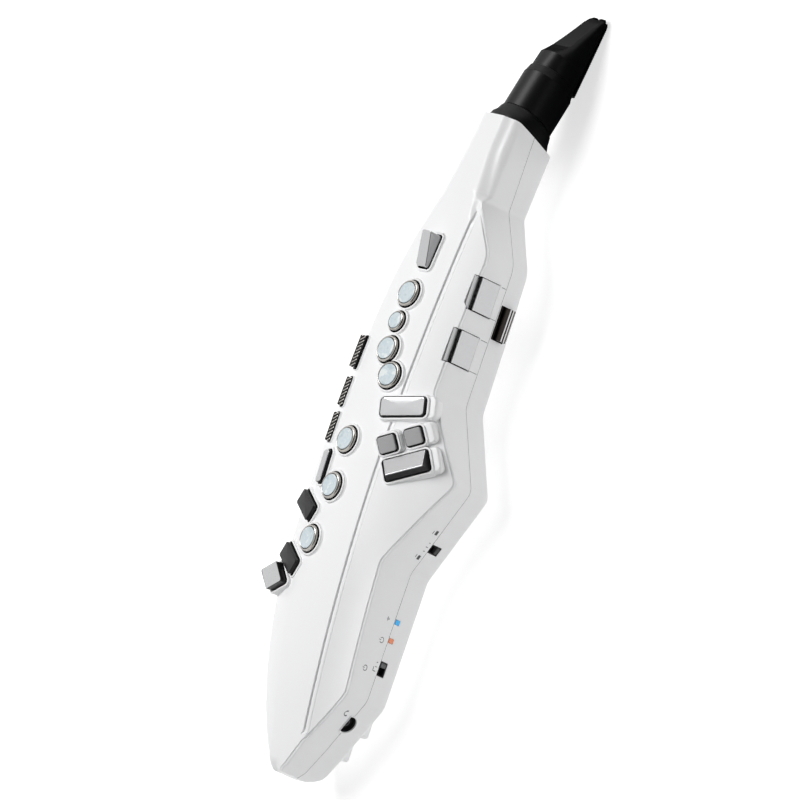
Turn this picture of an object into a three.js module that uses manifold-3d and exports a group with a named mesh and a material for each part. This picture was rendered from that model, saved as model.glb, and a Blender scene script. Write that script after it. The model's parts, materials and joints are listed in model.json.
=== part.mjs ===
// Digital wind controller, modelled in millimetres.
// X runs to the viewer's right, Y towards the mouthpiece, Z out of the key side.
// Heights are measured from the seam between the two body shells until the last lines,
// which put the origin at the bottom centre of the whole object.
import * as THREE from "three";
import { mergeVertices } from "three/addons/utils/BufferGeometryUtils.js";
import Module from "manifold-3d";

const wasm = await Module();
wasm.setup();

// Body outline seen from the key side, as distances from the middle of the whole length
const neckTop = 194;
const flareStart = 132;
const flareEnd = 95;
const palmZoneEnd = -8;
const wingTip = -65;
const wingEnd = -130;
const bevelStart = -224;
const bevelMiddle = -264;
const bevelEnd = -283;
const bellEnd = -288;
const bodyLength = neckTop - bellEnd;

// Reach of the body to the right and left of the neck's middle line
const neckRight = 17.5;
const palmRight = 38.6;
const wingReach = 69;
const lowerRight = 40.4;
const bevelRight = 19.1;
const bellRight = 7.6;
const leftReach = 55;

// Bends of the outline
const flareStartRadius = 2;
const flareEndRadius = 26;
const palmZoneRadius = 14;
const wingTipRadius = 9;
const wingEndRadius = 12;
const bevelRadius = 13;
const leftSoftening = 14;

// Heights of the body over and under the seam
const grooveHeight = 44.3;
const archPlace = -60;
const upperArchRadius = 1462;
const lowerArchRadius = 1064;
const neckSlope = 0.07;
const panelCrown = 0.7;
const crownRadius = 111;
const crownPlace = 6;
const wingSlope = 0.35;
const wingCurveRadius = 127;
const leftSlope = 0.38;
const leftCurveRadius = 82;
const rearDepth = 22;

// Walls, gaps and edges
const wall = 2.4;
const seamGap = 0.3;
const fit = 0.3;
const overrun = 2;
const neckRadius = 12;
const neckEdgeFade = 6;
const wingEdgeRadius = 2;
const leftEdgeRadius = 8;
const rearEdgeRadius = 4;
const leastRadius = 1;
const grooveX = 18;
const grooveHalfWidth = 1.7;
const grooveDepth = 0.9;
const plugLength = 18.6;
const bellBlockLength = 24;

// Mouthpiece and collar, along an axis that leans back from the neck
const leanAngle = 18.2;
const barrelBaseY = 198.4;
const barrelBaseHeight = -4.3;
const barrelX = 1;
const barrelHalfWidth = 16.5;
const barrelHalfDepth = 21.5;
const mouthpieceLength = 95;
const tipSlotWidth = 3.4;
const reedThickness = 2.6;
const reedHalfWidth = 8;
const airwayRadius = 1.8;
const tubeRadius = 4;
const tenonRadius = 8;
const tenonLength = 16;
const rimReach = 50.4;

// Keys
const padRise = 1.6;
const padRoot = 4.2;
const padMargin = 1.9;
const slimPadMargin = 1.1;
const wellGap = 0.4;
const keyRise = 2.6;
const keyTravel = 2;
const flangeMargin = 0.9;
const flangeThickness = 1.2;
const edgeBreak = 0.6;
const pearlKeyRadius = 9.7;
const smallKeyRadius = 7.3;
const inlayShare = 0.83;
const inlayDepth = 1.2;
const inlayStand = 0.3;
const stemRadius = 2.2;
const tableLift = 2.4;
const gSharpLength = 34;
const gSharpWidth = 13.4;
const squareKeyLength = 13.6;
const squareKeyWidth = 11.6;
const bFlatWidth = 33.6;
const bFlatLength = 15;
const bFlatLowRise = 3;
const bFlatHighRise = 9.2;
const xKeyWidth = 11;
const xKeyLength = 24.6;
const xKeyLowRise = 4.4;
const xKeyHighRise = 12;
const fSharpWidth = 8.4;
const fSharpLength = 24;
const touchLength = 25;
const touchWidth = 12.3;
const lowCLength = 20;
const lowCWidth = 17.3;
const lowCLift = 3.6;
const lowCRise = 6.6;
const lowCShankLength = 9;
const lowCShankWidth = 8;
const lowCShankShift = 4.4;
const sideKeyWidth = 5.2;
const slimSideKeyWidth = 4.6;
const sideKeyLength = 23.6;
const slimSideKeyLength = 20.8;
const sideKeyRise = 5.6;
const slimSideKeyRise = 4.2;

// Palm keys
const palmLength = 23.6;
const palmStand = 1.4;
const palmDepth = 20;
const palmLip = 4;
const palmFoldRadius = 3;
const barKeyDrop = 1.4;
const barKeyHeight = 12;
const barKeyStand = 4.4;

// Controls on the right wall
const toneSwitchWidth = 7;
const toneSwitchHeight = 10;
const powerSwitchWidth = 10.6;
const powerSwitchHeight = 7.4;
const switchRecess = 1.2;
const knobStand = 0.2;
const lampWidth = 3.6;
const lampHeight = 5;
const lampDrop = 3.2;
const jackRadius = 5.4;
const jackBore = 1.8;
const jackLength = 13;
const jackRecessRadius = 6.6;

// Boards and cells inside
const boardHeight = 22;
const boardThickness = 1.6;
const mainBoardHeight = -1;
const mainBoardWidth = 58;
const mainBoardLength = 92;
const postRadius = 2.6;
const cellRadius = 7.1;
const cellLength = 50.2;
const cellRows = 2;
const cellColumns = 3;
const batteryTop = -106;
const bayWall = 1.6;
const coverMargin = 3;
const coverThickness = 1.8;
const speakerPlace = -0.1784;
const speakerRadius = 12.5;
const speakerDepth = 7;
const speakerStand = 2;
const slotCount = 5;
const slotWidth = 2;
const sensorWidth = 20;
const sensorLength = 16;
const sensorHeight = 17;

// Back of the body
const displayPlace = -0.0457;
const displayWidth = 30;
const displayLength = 16;
const displayRecess = 0.4;
const menuButtonWidth = 8;
const menuButtonLength = 14;
const menuButtonStand = 1.2;
const volumeKnobSize = 10;
const volumeKnobStand = 3.4;
const octaveKeyWidth = 18;
const octaveKeyLength = 9;
const octaveKeyStand = 3;
const thumbRestWidth = 16;
const thumbRestLength = 24;
const thumbRestStand = 1.6;
const thumbPadWidth = 11;
const thumbPadLength = 18;
const thumbPadStand = 2;
const insertRoot = 3.8;
const ringPlace = 0.0125;
const ringTube = 1.5;
const ringRadius = 9.5;
const lugThickness = 4;
const lugHole = 2.4;
const lugRim = 2.2;
const lugDrop = 5.2;
const hookPlace = -0.149;
const hookWidth = 22;
const hookBaseLength = 22;
const hookThickness = 2.2;
const hookRadius = 9.5;
const footHeight = 5.5;
const footLength = 15;
const footInset = 2;

// Fineness of round forms
const roundSides = 20;
const smallSides = 10;
const cornerSteps = 2;
const softeningSamples = 9;

const silver = { color: 0xc4c6c9, roughness: 0.3, metalness: 0.85 };
const darkSilver = { color: 0x9a9c9f, roughness: 0.3, metalness: 0.85 };
const blackPlastic = { color: 0x2a2b2d, roughness: 0.4, metalness: 0 };
const greyPlastic = { color: 0x55575a, roughness: 0.4, metalness: 0.1 };
const whitePlastic = { color: 0xf2f2f3, roughness: 0.35, metalness: 0 };
const pearl = { color: 0xd6e3e6, roughness: 0.2, metalness: 0.1 };
const boardGreen = { color: 0x1f5b3a, roughness: 0.6, metalness: 0 };
const steel = { color: 0xb0b2b5, roughness: 0.35, metalness: 1 };
const rubber = { color: 0x202020, roughness: 0.8, metalness: 0 };

// Small helpers for geometry

const radians = THREE.MathUtils.degToRad;
const lerp = THREE.MathUtils.lerp;

function solidFrom(geometry) {
  const bare = geometry.clone();
  bare.deleteAttribute("normal");
  bare.deleteAttribute("uv");
  const merged = mergeVertices(bare, 1e-4);
  return new wasm.Manifold(new wasm.Mesh({
    numProp: 3,
    vertProperties: new Float32Array(merged.attributes.position.array),
    triVerts: new Uint32Array(merged.index.array),
  }));
}

function geometryFrom(solid) {
  // The cuts leave flat faces in pieces, which are merged here
  const mesh = solid.asOriginal().simplify().getMesh();
  const geometry = new THREE.BufferGeometry();
  geometry.setAttribute("position", new THREE.BufferAttribute(new Float32Array(mesh.vertProperties), 3));
  geometry.setIndex(new THREE.BufferAttribute(new Uint32Array(mesh.triVerts), 1));
  return geometry;
}

function cut(base, ...tools) {
  return tools.reduce((body, tool) => body.subtract(tool), base);
}

function join(base, ...others) {
  return others.reduce((body, other) => body.add(other), base);
}

// Interpolates a table of [place, value] rows that runs from high places to low ones
function along(table, place) {
  if (place >= table[0][0]) return table[0][1];
  for (let row = 1; row < table.length; row += 1) {
    const [lowPlace, lowValue] = table[row];
    const [highPlace, highValue] = table[row - 1];
    if (place >= lowPlace) return lerp(lowValue, highValue, (place - lowPlace) / (highPlace - lowPlace));
  }
  return table[table.length - 1][1];
}

// Rounds the bends of a table by averaging it over a short stretch
function softened(table, place, reach) {
  let total = 0;
  for (let sample = 0; sample < softeningSamples; sample += 1) {
    total += along(table, place + reach * ((2 * sample) / (softeningSamples - 1) - 1));
  }
  return total / softeningSamples;
}

function atShare(shares, scale) {
  return shares.map(([place, value]) => [neckTop - place * bodyLength, value * scale]);
}

// Joins rings of equally many points into a closed skin, with a flat cap at each end
function loft(rings) {
  const count = rings[0].length;
  const positions = rings.flat().flatMap((point) => [point.x, point.y, point.z]);
  const indices = [];
  for (let ring = 0; ring < rings.length - 1; ring += 1) {
    for (let side = 0; side < count; side += 1) {
      const next = (side + 1) % count;
      const a = ring * count + side;
      const b = ring * count + next;
      indices.push(a, b, b + count, a, b + count, a + count);
    }
  }
  addCap(indices, rings[0], 0, true);
  addCap(indices, rings[rings.length - 1], (rings.length - 1) * count, false);
  const geometry = new THREE.BufferGeometry();
  geometry.setAttribute("position", new THREE.BufferAttribute(new Float32Array(positions), 3));
  geometry.setIndex(indices);
  return facingOut(geometry);
}

function addCap(indices, ring, offset, isFirst) {
  const normal = ringNormal(ring);
  const flat = new THREE.Quaternion().setFromUnitVectors(normal, new THREE.Vector3(0, 0, 1));
  const contour = ring.map((point) => {
    const turned = point.clone().applyQuaternion(flat);
    return new THREE.Vector2(turned.x, turned.y);
  });
  for (const [a, b, c] of THREE.ShapeUtils.triangulateShape(contour, [])) {
    if (isFirst) indices.push(offset + a, offset + c, offset + b);
    else indices.push(offset + a, offset + b, offset + c);
  }
}

function ringNormal(ring) {
  const normal = new THREE.Vector3();
  ring.forEach((point, index) => {
    const next = ring[(index + 1) % ring.length];
    normal.x += (point.y - next.y) * (point.z + next.z);
    normal.y += (point.z - next.z) * (point.x + next.x);
    normal.z += (point.x - next.x) * (point.y + next.y);
  });
  return normal.normalize();
}

function facingOut(geometry) {
  const points = geometry.attributes.position;
  const index = geometry.index.array;
  const corners = [new THREE.Vector3(), new THREE.Vector3(), new THREE.Vector3()];
  let volume = 0;
  for (let face = 0; face < index.length; face += 3) {
    corners.forEach((corner, side) => corner.fromBufferAttribute(points, index[face + side]));
    volume += corners[0].dot(corners[1].clone().cross(corners[2]));
  }
  if (volume < 0) {
    for (let face = 0; face < index.length; face += 3) {
      [index[face + 1], index[face + 2]] = [index[face + 2], index[face + 1]];
    }
  }
  return geometry;
}

// Flat outlines as lists of points, all running the same way round

function circle(radius, sides = roundSides) {
  return Array.from({ length: sides }, (_, side) => {
    const angle = (side / sides) * 2 * Math.PI;
    return new THREE.Vector2(radius * Math.cos(angle), radius * Math.sin(angle));
  });
}

// A polygon with each corner rounded by an arc
function rounded(corners, radius) {
  return corners.flatMap((corner, index) => {
    const before = corners[(index + corners.length - 1) % corners.length];
    const after = corners[(index + 1) % corners.length];
    const toBefore = before.clone().sub(corner).normalize();
    const toAfter = after.clone().sub(corner).normalize();
    const halfAngle = Math.acos(THREE.MathUtils.clamp(toBefore.dot(toAfter), -1, 1)) / 2;
    const reach = radius / Math.tan(halfAngle);
    const middle = toBefore.clone().add(toAfter).normalize().multiplyScalar(radius / Math.sin(halfAngle));
    const centre = corner.clone().add(middle);
    const start = corner.clone().addScaledVector(toBefore, reach).sub(centre);
    const sweep = Math.PI - 2 * halfAngle;
    return Array.from({ length: cornerSteps + 1 }, (_, step) => (
      start.clone().rotateAround(new THREE.Vector2(), (sweep * step) / cornerSteps).add(centre)
    ));
  });
}

function rectangle(width, length, radius) {
  const x = width / 2;
  const y = length / 2;
  return rounded([[-x, -y], [x, -y], [x, y], [-x, y]].map(([u, v]) => new THREE.Vector2(u, v)), radius);
}

// A four-sided outline whose ends lean over by a skew angle
function leaning(length, width, skew, radius) {
  const shift = (width / 2) * Math.tan(radians(skew));
  const x = length / 2;
  const y = width / 2;
  const corners = [[-x - shift, -y], [x - shift, -y], [x + shift, y], [-x + shift, y]];
  return rounded(corners.map(([u, v]) => new THREE.Vector2(u, v)), radius);
}

// Moves an outline sideways
function shifted(outline, distance) {
  return outline.map((point) => new THREE.Vector2(point.x + distance, point.y));
}

// Moves every point of an outline out by a margin, along its own normal
function grown(outline, margin) {
  return outline.map((point, index) => {
    const before = outline[(index + outline.length - 1) % outline.length];
    const after = outline[(index + 1) % outline.length];
    const first = new THREE.Vector2(point.y - before.y, before.x - point.x).normalize();
    const second = new THREE.Vector2(after.y - point.y, point.x - after.x).normalize();
    const normal = first.clone().add(second).normalize();
    return point.clone().addScaledVector(normal, margin / Math.max(normal.dot(first), 0.5));
  });
}

// A stack of outlines, each at its own height
function stack(levels) {
  return loft(levels.map(([outline, height]) => (
    outline.map((point) => new THREE.Vector3(point.x, point.y, height))
  )));
}

function prism(outline, low, high) {
  return stack([[outline, low], [outline, high]]);
}

function placed(geometry, matrix) {
  return solidFrom(geometry.clone().applyMatrix4(matrix));
}

function block(x, y, low, high, width, length, radius = 0) {
  const outline = radius > 0 ? rectangle(width, length, radius)
    : [[-1, -1], [1, -1], [1, 1], [-1, 1]].map(([u, v]) => new THREE.Vector2((u * width) / 2, (v * length) / 2));
  return prism(outline, low, high).translate(x, y, 0);
}

// Body outline and heights

// Turns [place, reach, radius] corners into a table whose bends are rounded
function bent(corners) {
  return corners.flatMap(([place, reach, radius], index) => {
    if (index === 0 || index === corners.length - 1) return [[place, reach]];
    const corner = new THREE.Vector2(place, reach);
    const before = new THREE.Vector2(...corners[index - 1]).sub(corner).normalize();
    const after = new THREE.Vector2(...corners[index + 1]).sub(corner).normalize();
    const halfAngle = Math.acos(before.dot(after)) / 2;
    const tangent = radius / Math.tan(halfAngle);
    return [0, 0.5, 1].map((share) => {
      const point = corner.clone().addScaledVector(before, tangent * (1 - share) ** 2);
      point.addScaledVector(after, tangent * share ** 2);
      return [point.x, point.y];
    });
  });
}

const rightTable = bent([
  [neckTop + neckRadius, neckRight, 0], [flareStart, neckRight, flareStartRadius],
  [flareEnd, palmRight, flareEndRadius], [palmZoneEnd, palmRight, palmZoneRadius],
  [wingTip, wingReach, wingTipRadius], [wingEnd, lowerRight, wingEndRadius],
  [bevelStart, lowerRight, bevelRadius], [bevelMiddle, bevelRight, bevelRadius],
  [bevelEnd, bellRight, bellRight], [bellEnd - leastRadius, 0, 0],
]);
const leftOutlineShares = [
  [0, -0.285], [0.09, -0.4], [0.162, -0.535], [0.255, -0.735], [0.365, -0.82], [0.508, -0.92],
  [0.66, -1], [0.768, -0.99], [0.857, -0.8], [0.934, -0.52], [0.985, -0.24], [1, -0.12],
];
const creaseShares = [
  [0, -0.2], [0.085, -0.27], [0.168, -0.44], [0.272, -0.53], [0.376, -0.545], [0.52, -0.56],
  [0.664, -0.53], [0.768, -0.49], [0.863, -0.36], [1, -0.14],
];
const rearDepthShares = [[0, 1.18], [0.13, 0.92], [0.205, 0.85], [0.4, 1], [1, 1]];
const leftTable = atShare(leftOutlineShares, leftReach);
const creaseTable = atShare(creaseShares, leftReach);
const depthTable = atShare(rearDepthShares, rearDepth);

const rightEdge = (y) => along(rightTable, y);
const leftEdge = (y) => softened(leftTable, y, leftSoftening);
const creaseX = (y) => softened(creaseTable, y, leftSoftening);
const rearHeight = (y) => -softened(depthTable, y, leftSoftening);

// How steeply the right edge runs outwards along the body
function edgeSlope(y) {
  const step = leastRadius;
  return (rightEdge(y + step) - rightEdge(y - step)) / (2 * step);
}

function ridgeHeight(y) {
  const distance = Math.min(y, flareStart) - archPlace;
  const radius = distance > 0 ? upperArchRadius : lowerArchRadius;
  const beyond = Math.max(y - flareStart, 0);
  return grooveHeight - (distance * distance) / (2 * radius) - beyond * neckSlope;
}

// Height of the front skin over the seam, before its edges are rounded
function frontHeight(x, y) {
  const ridge = ridgeHeight(y);
  const crease = creaseX(y);
  const crown = (place) => ridge + panelCrown - ((place - crownPlace) ** 2) / (2 * crownRadius);
  const beyond = x - grooveX;
  if (beyond > 0) return ridge - beyond * (wingSlope + beyond / (2 * wingCurveRadius));
  const outside = crease - x;
  if (outside > 0) return crown(crease) - outside * (leftSlope + outside / (2 * leftCurveRadius));
  return crown(x);
}

const rightRadius = (y) => along([[flareStart, neckRadius], [flareStart - neckEdgeFade, wingEdgeRadius]], y);
const leftRadius = (y) => along([[flareStart, neckRadius], [flareEnd, leftEdgeRadius]], y);

// Shares of a corner's radius, in from the side and down from the top
const cornerShares = [[0, 1], [0.12, 0.58], [0.42, 0.2], [1, 0]];
const panelShares = [0, 0.25, 0.5, 0.75, 1];
const wingShares = [0, 0.35, 0.7, 1];

// One cross-section of the front shell, inset from the outer skin
function frontRing(y, inset) {
  const left = leftEdge(y) + inset;
  const right = rightEdge(y) - inset * Math.hypot(1, edgeSlope(y));
  const width = right - left;
  const radiusL = Math.min(Math.max(leftRadius(y) - inset, leastRadius), width / 3);
  const radiusR = Math.min(Math.max(rightRadius(y) - inset, leastRadius), width / 3);
  const spare = Math.min(leastRadius, width / 20);
  const halfWidth = Math.min(grooveHalfWidth, width / 12);
  const crease = Math.max(creaseX(y), left + radiusL + spare);
  const groove = Math.min(grooveX, right - radiusR - halfWidth - spare);
  const isPlain = inset > 0 || y > flareStart - neckRadius || y < bevelMiddle + neckRadius;
  const ditch = isPlain ? 0 : grooveDepth;
  const height = (x) => frontHeight(x, y) - inset * Math.hypot(1, leftSlope);
  const low = seamGap / 2 - (inset > 0 ? overrun : 0);
  const leftTop = height(left + radiusL);
  const rightTop = height(right - radiusR);
  const wingStart = groove + halfWidth;
  const points = [[left, low]];
  for (const [across, down] of cornerShares) points.push([left + radiusL * across, leftTop - radiusL * down]);
  const middle = (left + radiusL + crease) / 2;
  points.push([middle, height(middle)]);
  for (const share of panelShares) {
    const x = lerp(crease, groove - halfWidth, share);
    points.push([x, height(x)]);
  }
  points.push([groove, height(groove) - ditch]);
  for (const share of wingShares) {
    const x = lerp(wingStart, right - radiusR, share);
    points.push([x, height(x)]);
  }
  points.push([right - radiusR * 0.3, rightTop - radiusR * 0.28]);
  points.push([right, rightTop - radiusR], [right, low]);
  return points.map(([x, z]) => new THREE.Vector3(x, y, z));
}

function rearRing(y, inset) {
  const left = leftEdge(y) + inset;
  const right = rightEdge(y) - inset * Math.hypot(1, edgeSlope(y));
  const radius = Math.min(rearEdgeRadius, (right - left) / 3);
  const floor = rearHeight(y) + inset;
  const high = (inset > 0 ? overrun : 0) - seamGap / 2;
  const points = [
    [left, high], [left, floor + radius], [left + radius * 0.3, floor + radius * 0.3], [left + radius, floor],
    [(left + right) / 2, floor],
    [right - radius, floor], [right - radius * 0.3, floor + radius * 0.3], [right, floor + radius], [right, high],
  ];
  return points.map(([x, z]) => new THREE.Vector3(x, y, z));
}

const stationShares = [
  -0.015, 0.06, 0.105, 0.129, 0.15, 0.18, 0.2, 0.225, 0.27, 0.33, 0.38, 0.41, 0.432, 0.48, 0.522, 0.541, 0.56,
  0.61, 0.655, 0.69, 0.75, 0.81, 0.85, 0.868, 0.885, 0.92, 0.95, 0.972, 0.987, 0.996, 1,
];
const stations = stationShares.map((share) => neckTop - share * bodyLength);
const neckPlug = neckTop - plugLength;
const hollowEnd = bellEnd + bellBlockLength;
const hollowStations = stations.filter((y, index) => index % 2 === 0 || (y < flareEnd && y > wingEnd));
const innerStations = [neckPlug, ...hollowStations.filter((y) => y < neckPlug - leastRadius && y > hollowEnd), hollowEnd];

// Mouthpiece axis and the rim where the neck ends

const mouthpieceFrame = new THREE.Matrix4()
  .makeTranslation(barrelX, barrelBaseY, barrelBaseHeight)
  .multiply(new THREE.Matrix4().makeRotationX(radians(-leanAngle)));

const rimShares = [[1.3, -0.06], [1, -0.025], [0.6, 0.0], [0.34, 0.045], [0.03, 0.12], [-0.5, 0.27], [-1.2, 0.5]];
const rimLine = rimShares.map(([height, drop]) => [neckTop - drop * rimReach, height * (grooveHeight - neckRadius)]);

// The space beyond the neck rim, or the space before it
function rimSide(beyond, shift) {
  const far = beyond ? neckTop + 4 * neckRadius : flareStart;
  const outline = rimLine.map(([y, z]) => new THREE.Vector2(y + shift, z));
  const lastHeight = outline[outline.length - 1].y;
  outline.push(new THREE.Vector2(far, lastHeight), new THREE.Vector2(far, outline[0].y));
  const reach = 3 * neckRight;
  return loft([-reach, reach].map((x) => outline.map((point) => new THREE.Vector3(x, point.x, point.y))));
}

// Keys: each one stands square on the body skin, or on a given plane

// A frame on the front skin, with Z along the skin's normal and Y turned by an angle
function seat({ across, along: lengthwise, lift = 0, turn = 0, roll, pitch }) {
  const x = across * leftReach;
  const y = lengthwise * bodyLength;
  const step = leastRadius / 2;
  const slopeX = (frontHeight(x + step, y) - frontHeight(x - step, y)) / (2 * step);
  const slopeY = (frontHeight(x, y + step) - frontHeight(x, y - step)) / (2 * step);
  const tiltX = roll === undefined ? -slopeX : Math.tan(radians(roll));
  const tiltY = pitch === undefined ? -slopeY : Math.tan(radians(pitch));
  const normal = new THREE.Vector3(tiltX, tiltY, 1).normalize();
  const sideways = new THREE.Vector3(0, 1, 0).cross(normal).normalize();
  const upward = normal.clone().cross(sideways);
  const matrix = new THREE.Matrix4().makeBasis(sideways, upward, normal);
  matrix.setPosition(x, y, frontHeight(x, y));
  return matrix
    .multiply(new THREE.Matrix4().makeTranslation(0, 0, lift))
    .multiply(new THREE.Matrix4().makeRotationZ(radians(turn)));
}

// A key cap with its retaining flange under the skin, and a narrower shank where it has one
function keySolid(outline, rise, shank = outline) {
  const root = -padRoot - fit;
  const capUnderside = padRise + keyTravel + fit;
  const low = [
    [grown(shank, flangeMargin), root - flangeThickness],
    [grown(shank, flangeMargin), root],
    [shank, root],
  ];
  if (shank !== outline) low.push([shank, capUnderside], [outline, capUnderside]);
  return stack([...low, [outline, rise - edgeBreak], [grown(outline, -edgeBreak), rise]]);
}

// Places are shares of the left reach and of the body's length; turns and tilts are in degrees
const pearlKeys = [
  { name: "b", across: -0.164, along: 0.1133, radius: pearlKeyRadius },
  { name: "bis", across: -0.176, along: 0.0699, radius: smallKeyRadius },
  { name: "a", across: -0.146, along: 0.027, radius: pearlKeyRadius },
  { name: "g", across: 0.045, along: -0.01, radius: pearlKeyRadius },
  { name: "f", across: -0.295, along: -0.1145, radius: pearlKeyRadius },
  { name: "e", across: -0.291, along: -0.1846, radius: pearlKeyRadius },
  { name: "d", across: -0.411, along: -0.2656, radius: pearlKeyRadius },
].map((key) => ({ ...key, outline: circle(key.radius), frame: seat(key) }));

const cornerOf = (width, share) => width * share;
const blackRise = padRise + keyRise + edgeBreak;
const flatKeys = [
  {
    name: "g_sharp_key", finish: silver, rise: padRise + tableLift,
    place: { across: 0.422, along: -0.05, lift: tableLift, turn: 14.8, roll: 14, pitch: 1.4 },
    outline: rectangle(gSharpLength, gSharpWidth, cornerOf(gSharpWidth, 0.19)),
  },
  {
    name: "low_c_sharp_key", finish: darkSilver, rise: padRise + wall - fit,
    place: { across: 0.389, along: -0.1058, lift: tableLift, turn: 29, roll: 18, pitch: -15 },
    outline: rectangle(squareKeyLength, squareKeyWidth, cornerOf(squareKeyWidth, 0.17)),
  },
  {
    name: "low_b_key", finish: darkSilver, rise: padRise + wall - fit,
    place: { across: 0.664, along: -0.0842, lift: tableLift, turn: 29, roll: 18, pitch: -15 },
    outline: rectangle(squareKeyLength, squareKeyWidth, cornerOf(squareKeyWidth, 0.17)),
  },
  {
    name: "f_sharp_key", finish: silver, rise: padRise + keyRise, place: { across: -0.578, along: -0.1587, turn: 2 },
    outline: rectangle(fSharpWidth, fSharpLength, cornerOf(fSharpWidth, 0.36)),
  },
  {
    name: "e_flat_key", finish: blackPlastic, rise: blackRise,
    place: { across: -0.68, along: -0.2185, turn: -29, roll: -22, pitch: -3 },
    outline: leaning(touchLength, touchWidth, 2, cornerOf(touchWidth, 0.13)),
  },
  {
    name: "low_c_sharp_touch", finish: blackPlastic, rise: blackRise,
    place: { across: -0.731, along: -0.2983, turn: -31, roll: -22, pitch: -5 },
    outline: leaning(touchLength, touchWidth, 3, cornerOf(touchWidth, 0.13)),
  },
  {
    name: "low_c_key", finish: silver, rise: lowCRise,
    place: { across: -0.9, along: -0.327, lift: lowCLift, turn: 22.6, roll: -20, pitch: -6 },
    outline: leaning(lowCLength, lowCWidth, -24.4, cornerOf(lowCWidth, 0.08)),
    shank: shifted(rectangle(lowCShankLength, lowCShankWidth, cornerOf(lowCShankWidth, 0.17)), lowCShankShift),
  },
  {
    name: "side_key_1", finish: blackPlastic, rise: sideKeyRise, margin: slimPadMargin,
    place: { across: -0.702, along: 0.016, roll: -26 },
    outline: rectangle(sideKeyWidth, sideKeyLength, cornerOf(sideKeyWidth, 0.17)),
  },
  {
    name: "side_key_2", finish: blackPlastic, rise: slimSideKeyRise, margin: slimPadMargin,
    place: { across: -0.707, along: -0.0448, roll: -26 },
    outline: rectangle(slimSideKeyWidth, slimSideKeyLength, cornerOf(slimSideKeyWidth, 0.19)),
  },
  {
    name: "side_key_3", finish: blackPlastic, rise: slimSideKeyRise, margin: slimPadMargin,
    place: { across: -0.707, along: -0.099, roll: -26 },
    outline: rectangle(slimSideKeyWidth, slimSideKeyLength, cornerOf(slimSideKeyWidth, 0.19)),
  },
].map((key) => ({ ...key, frame: seat(key.place) }));

// Wedge keys rise along their own Y from a low edge to a ridge
function wedgeSolid({ width, length, lowRise, highRise, draft }) {
  const base = rectangle(width, length, cornerOf(padMargin, 1));
  const root = -padRoot - fit;
  const levels = [
    [grown(base, flangeMargin), root - flangeThickness], [grown(base, flangeMargin), root],
    [base, root], [base, padRise],
  ].map(([outline, height]) => outline.map((point) => new THREE.Vector3(point.x, point.y, height)));
  const top = base.map((point) => {
    const share = point.y / length + 0.5;
    const height = lerp(lowRise, highRise, share);
    const inset = 1 - (draft * height) / width;
    return new THREE.Vector3(point.x * inset, point.y * (1 - (draft * height) / (3 * length)), height);
  });
  return loft([...levels, top]);
}

const wedgeKeys = [
  {
    name: "x_key", finish: silver, place: { across: -0.109, along: 0.1809 },
    shape: { width: xKeyWidth, length: xKeyLength, lowRise: xKeyLowRise, highRise: xKeyHighRise, draft: 0.16 },
  },
  {
    name: "low_b_flat_key", finish: darkSilver,
    place: { across: 0.684, along: -0.1295, lift: padRise, turn: 209.5, roll: 18, pitch: 0 },
    shape: { width: bFlatWidth, length: bFlatLength, lowRise: bFlatLowRise, highRise: bFlatHighRise, draft: 0.3 },
  },
].map((key) => ({
  ...key,
  frame: seat(key.place),
  outline: rectangle(key.shape.width, key.shape.length, cornerOf(padMargin, 1)),
}));

const wellKeys = [
  ...pearlKeys.map((key) => ({
    frame: key.frame, outline: key.outline, lift: 0, margin: padMargin, isRound: true,
  })),
  ...flatKeys.map((key) => ({
    frame: key.frame, outline: key.shank ?? key.outline, lift: key.place.lift ?? 0,
    padOutline: key.outline, margin: key.margin ?? padMargin,
  })),
  ...wedgeKeys.map((key) => ({
    frame: key.frame, outline: key.outline, lift: key.place.lift ?? 0, margin: padMargin,
  })),
];

// Palm keys wrap the right edge, or stand on the side wall behind the seam

const palmKeys = [
  { name: "palm_key_1", along: 0.1402 },
  { name: "palm_key_2", along: 0.0581 },
].map((key) => ({ ...key, y: key.along * bodyLength }));
const barKeyY = 0.1154 * bodyLength;

// Outline across the body of a wrapped palm key, seen along Y
function palmProfile(y, margin) {
  const outer = palmRight + palmStand + margin;
  const edge = frontHeight(palmRight, y);
  const top = edge + palmStand + margin;
  const bottom = edge - palmDepth - 2 * margin;
  const inner = palmRight - palmLip - margin;
  const depth = palmRight - wall - palmStand - (margin > 0 ? overrun : 0);
  const radius = palmFoldRadius;
  return [
    [depth, bottom], [outer - radius * 0.3, bottom], [outer, bottom + radius * 0.3], [outer, top - radius],
    [outer - radius * 0.25, top - radius * 0.3], [outer - radius, top + radius * 0.1],
    [inner, top + palmLip * wingSlope], [inner, top - radius], [depth, top - 2 * radius],
  ];
}

function palmSolid(y, margin) {
  const profile = palmProfile(y, margin);
  const half = palmLength / 2 + margin;
  return loft([y - half, y + half].map((place) => (
    profile.map(([x, z]) => new THREE.Vector3(x, place, z))
  )));
}

// Section of the bar key on the side wall, a rounded rib in front of its shank
function barKeySolid(margin) {
  const half = palmLength / 2 + margin;
  const low = -barKeyDrop - barKeyHeight - margin;
  const high = margin - barKeyDrop;
  const inner = palmRight - 2 * wall - (margin > 0 ? overrun : 0);
  const outer = palmRight + barKeyStand + margin;
  const bulge = (high - low) / 3;
  const profile = [
    [inner, low], [outer - bulge, low], [outer - bulge * 0.3, low + bulge * 0.4], [outer, low + bulge],
    [outer, high - bulge], [outer - bulge * 0.5, high - bulge * 0.25], [outer - bulge, high], [inner, high],
  ];
  return loft([barKeyY - half, barKeyY + half].map((place) => (
    profile.map(([x, z]) => new THREE.Vector3(x, place, z))
  )));
}

// Controls on the right wall

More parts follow.
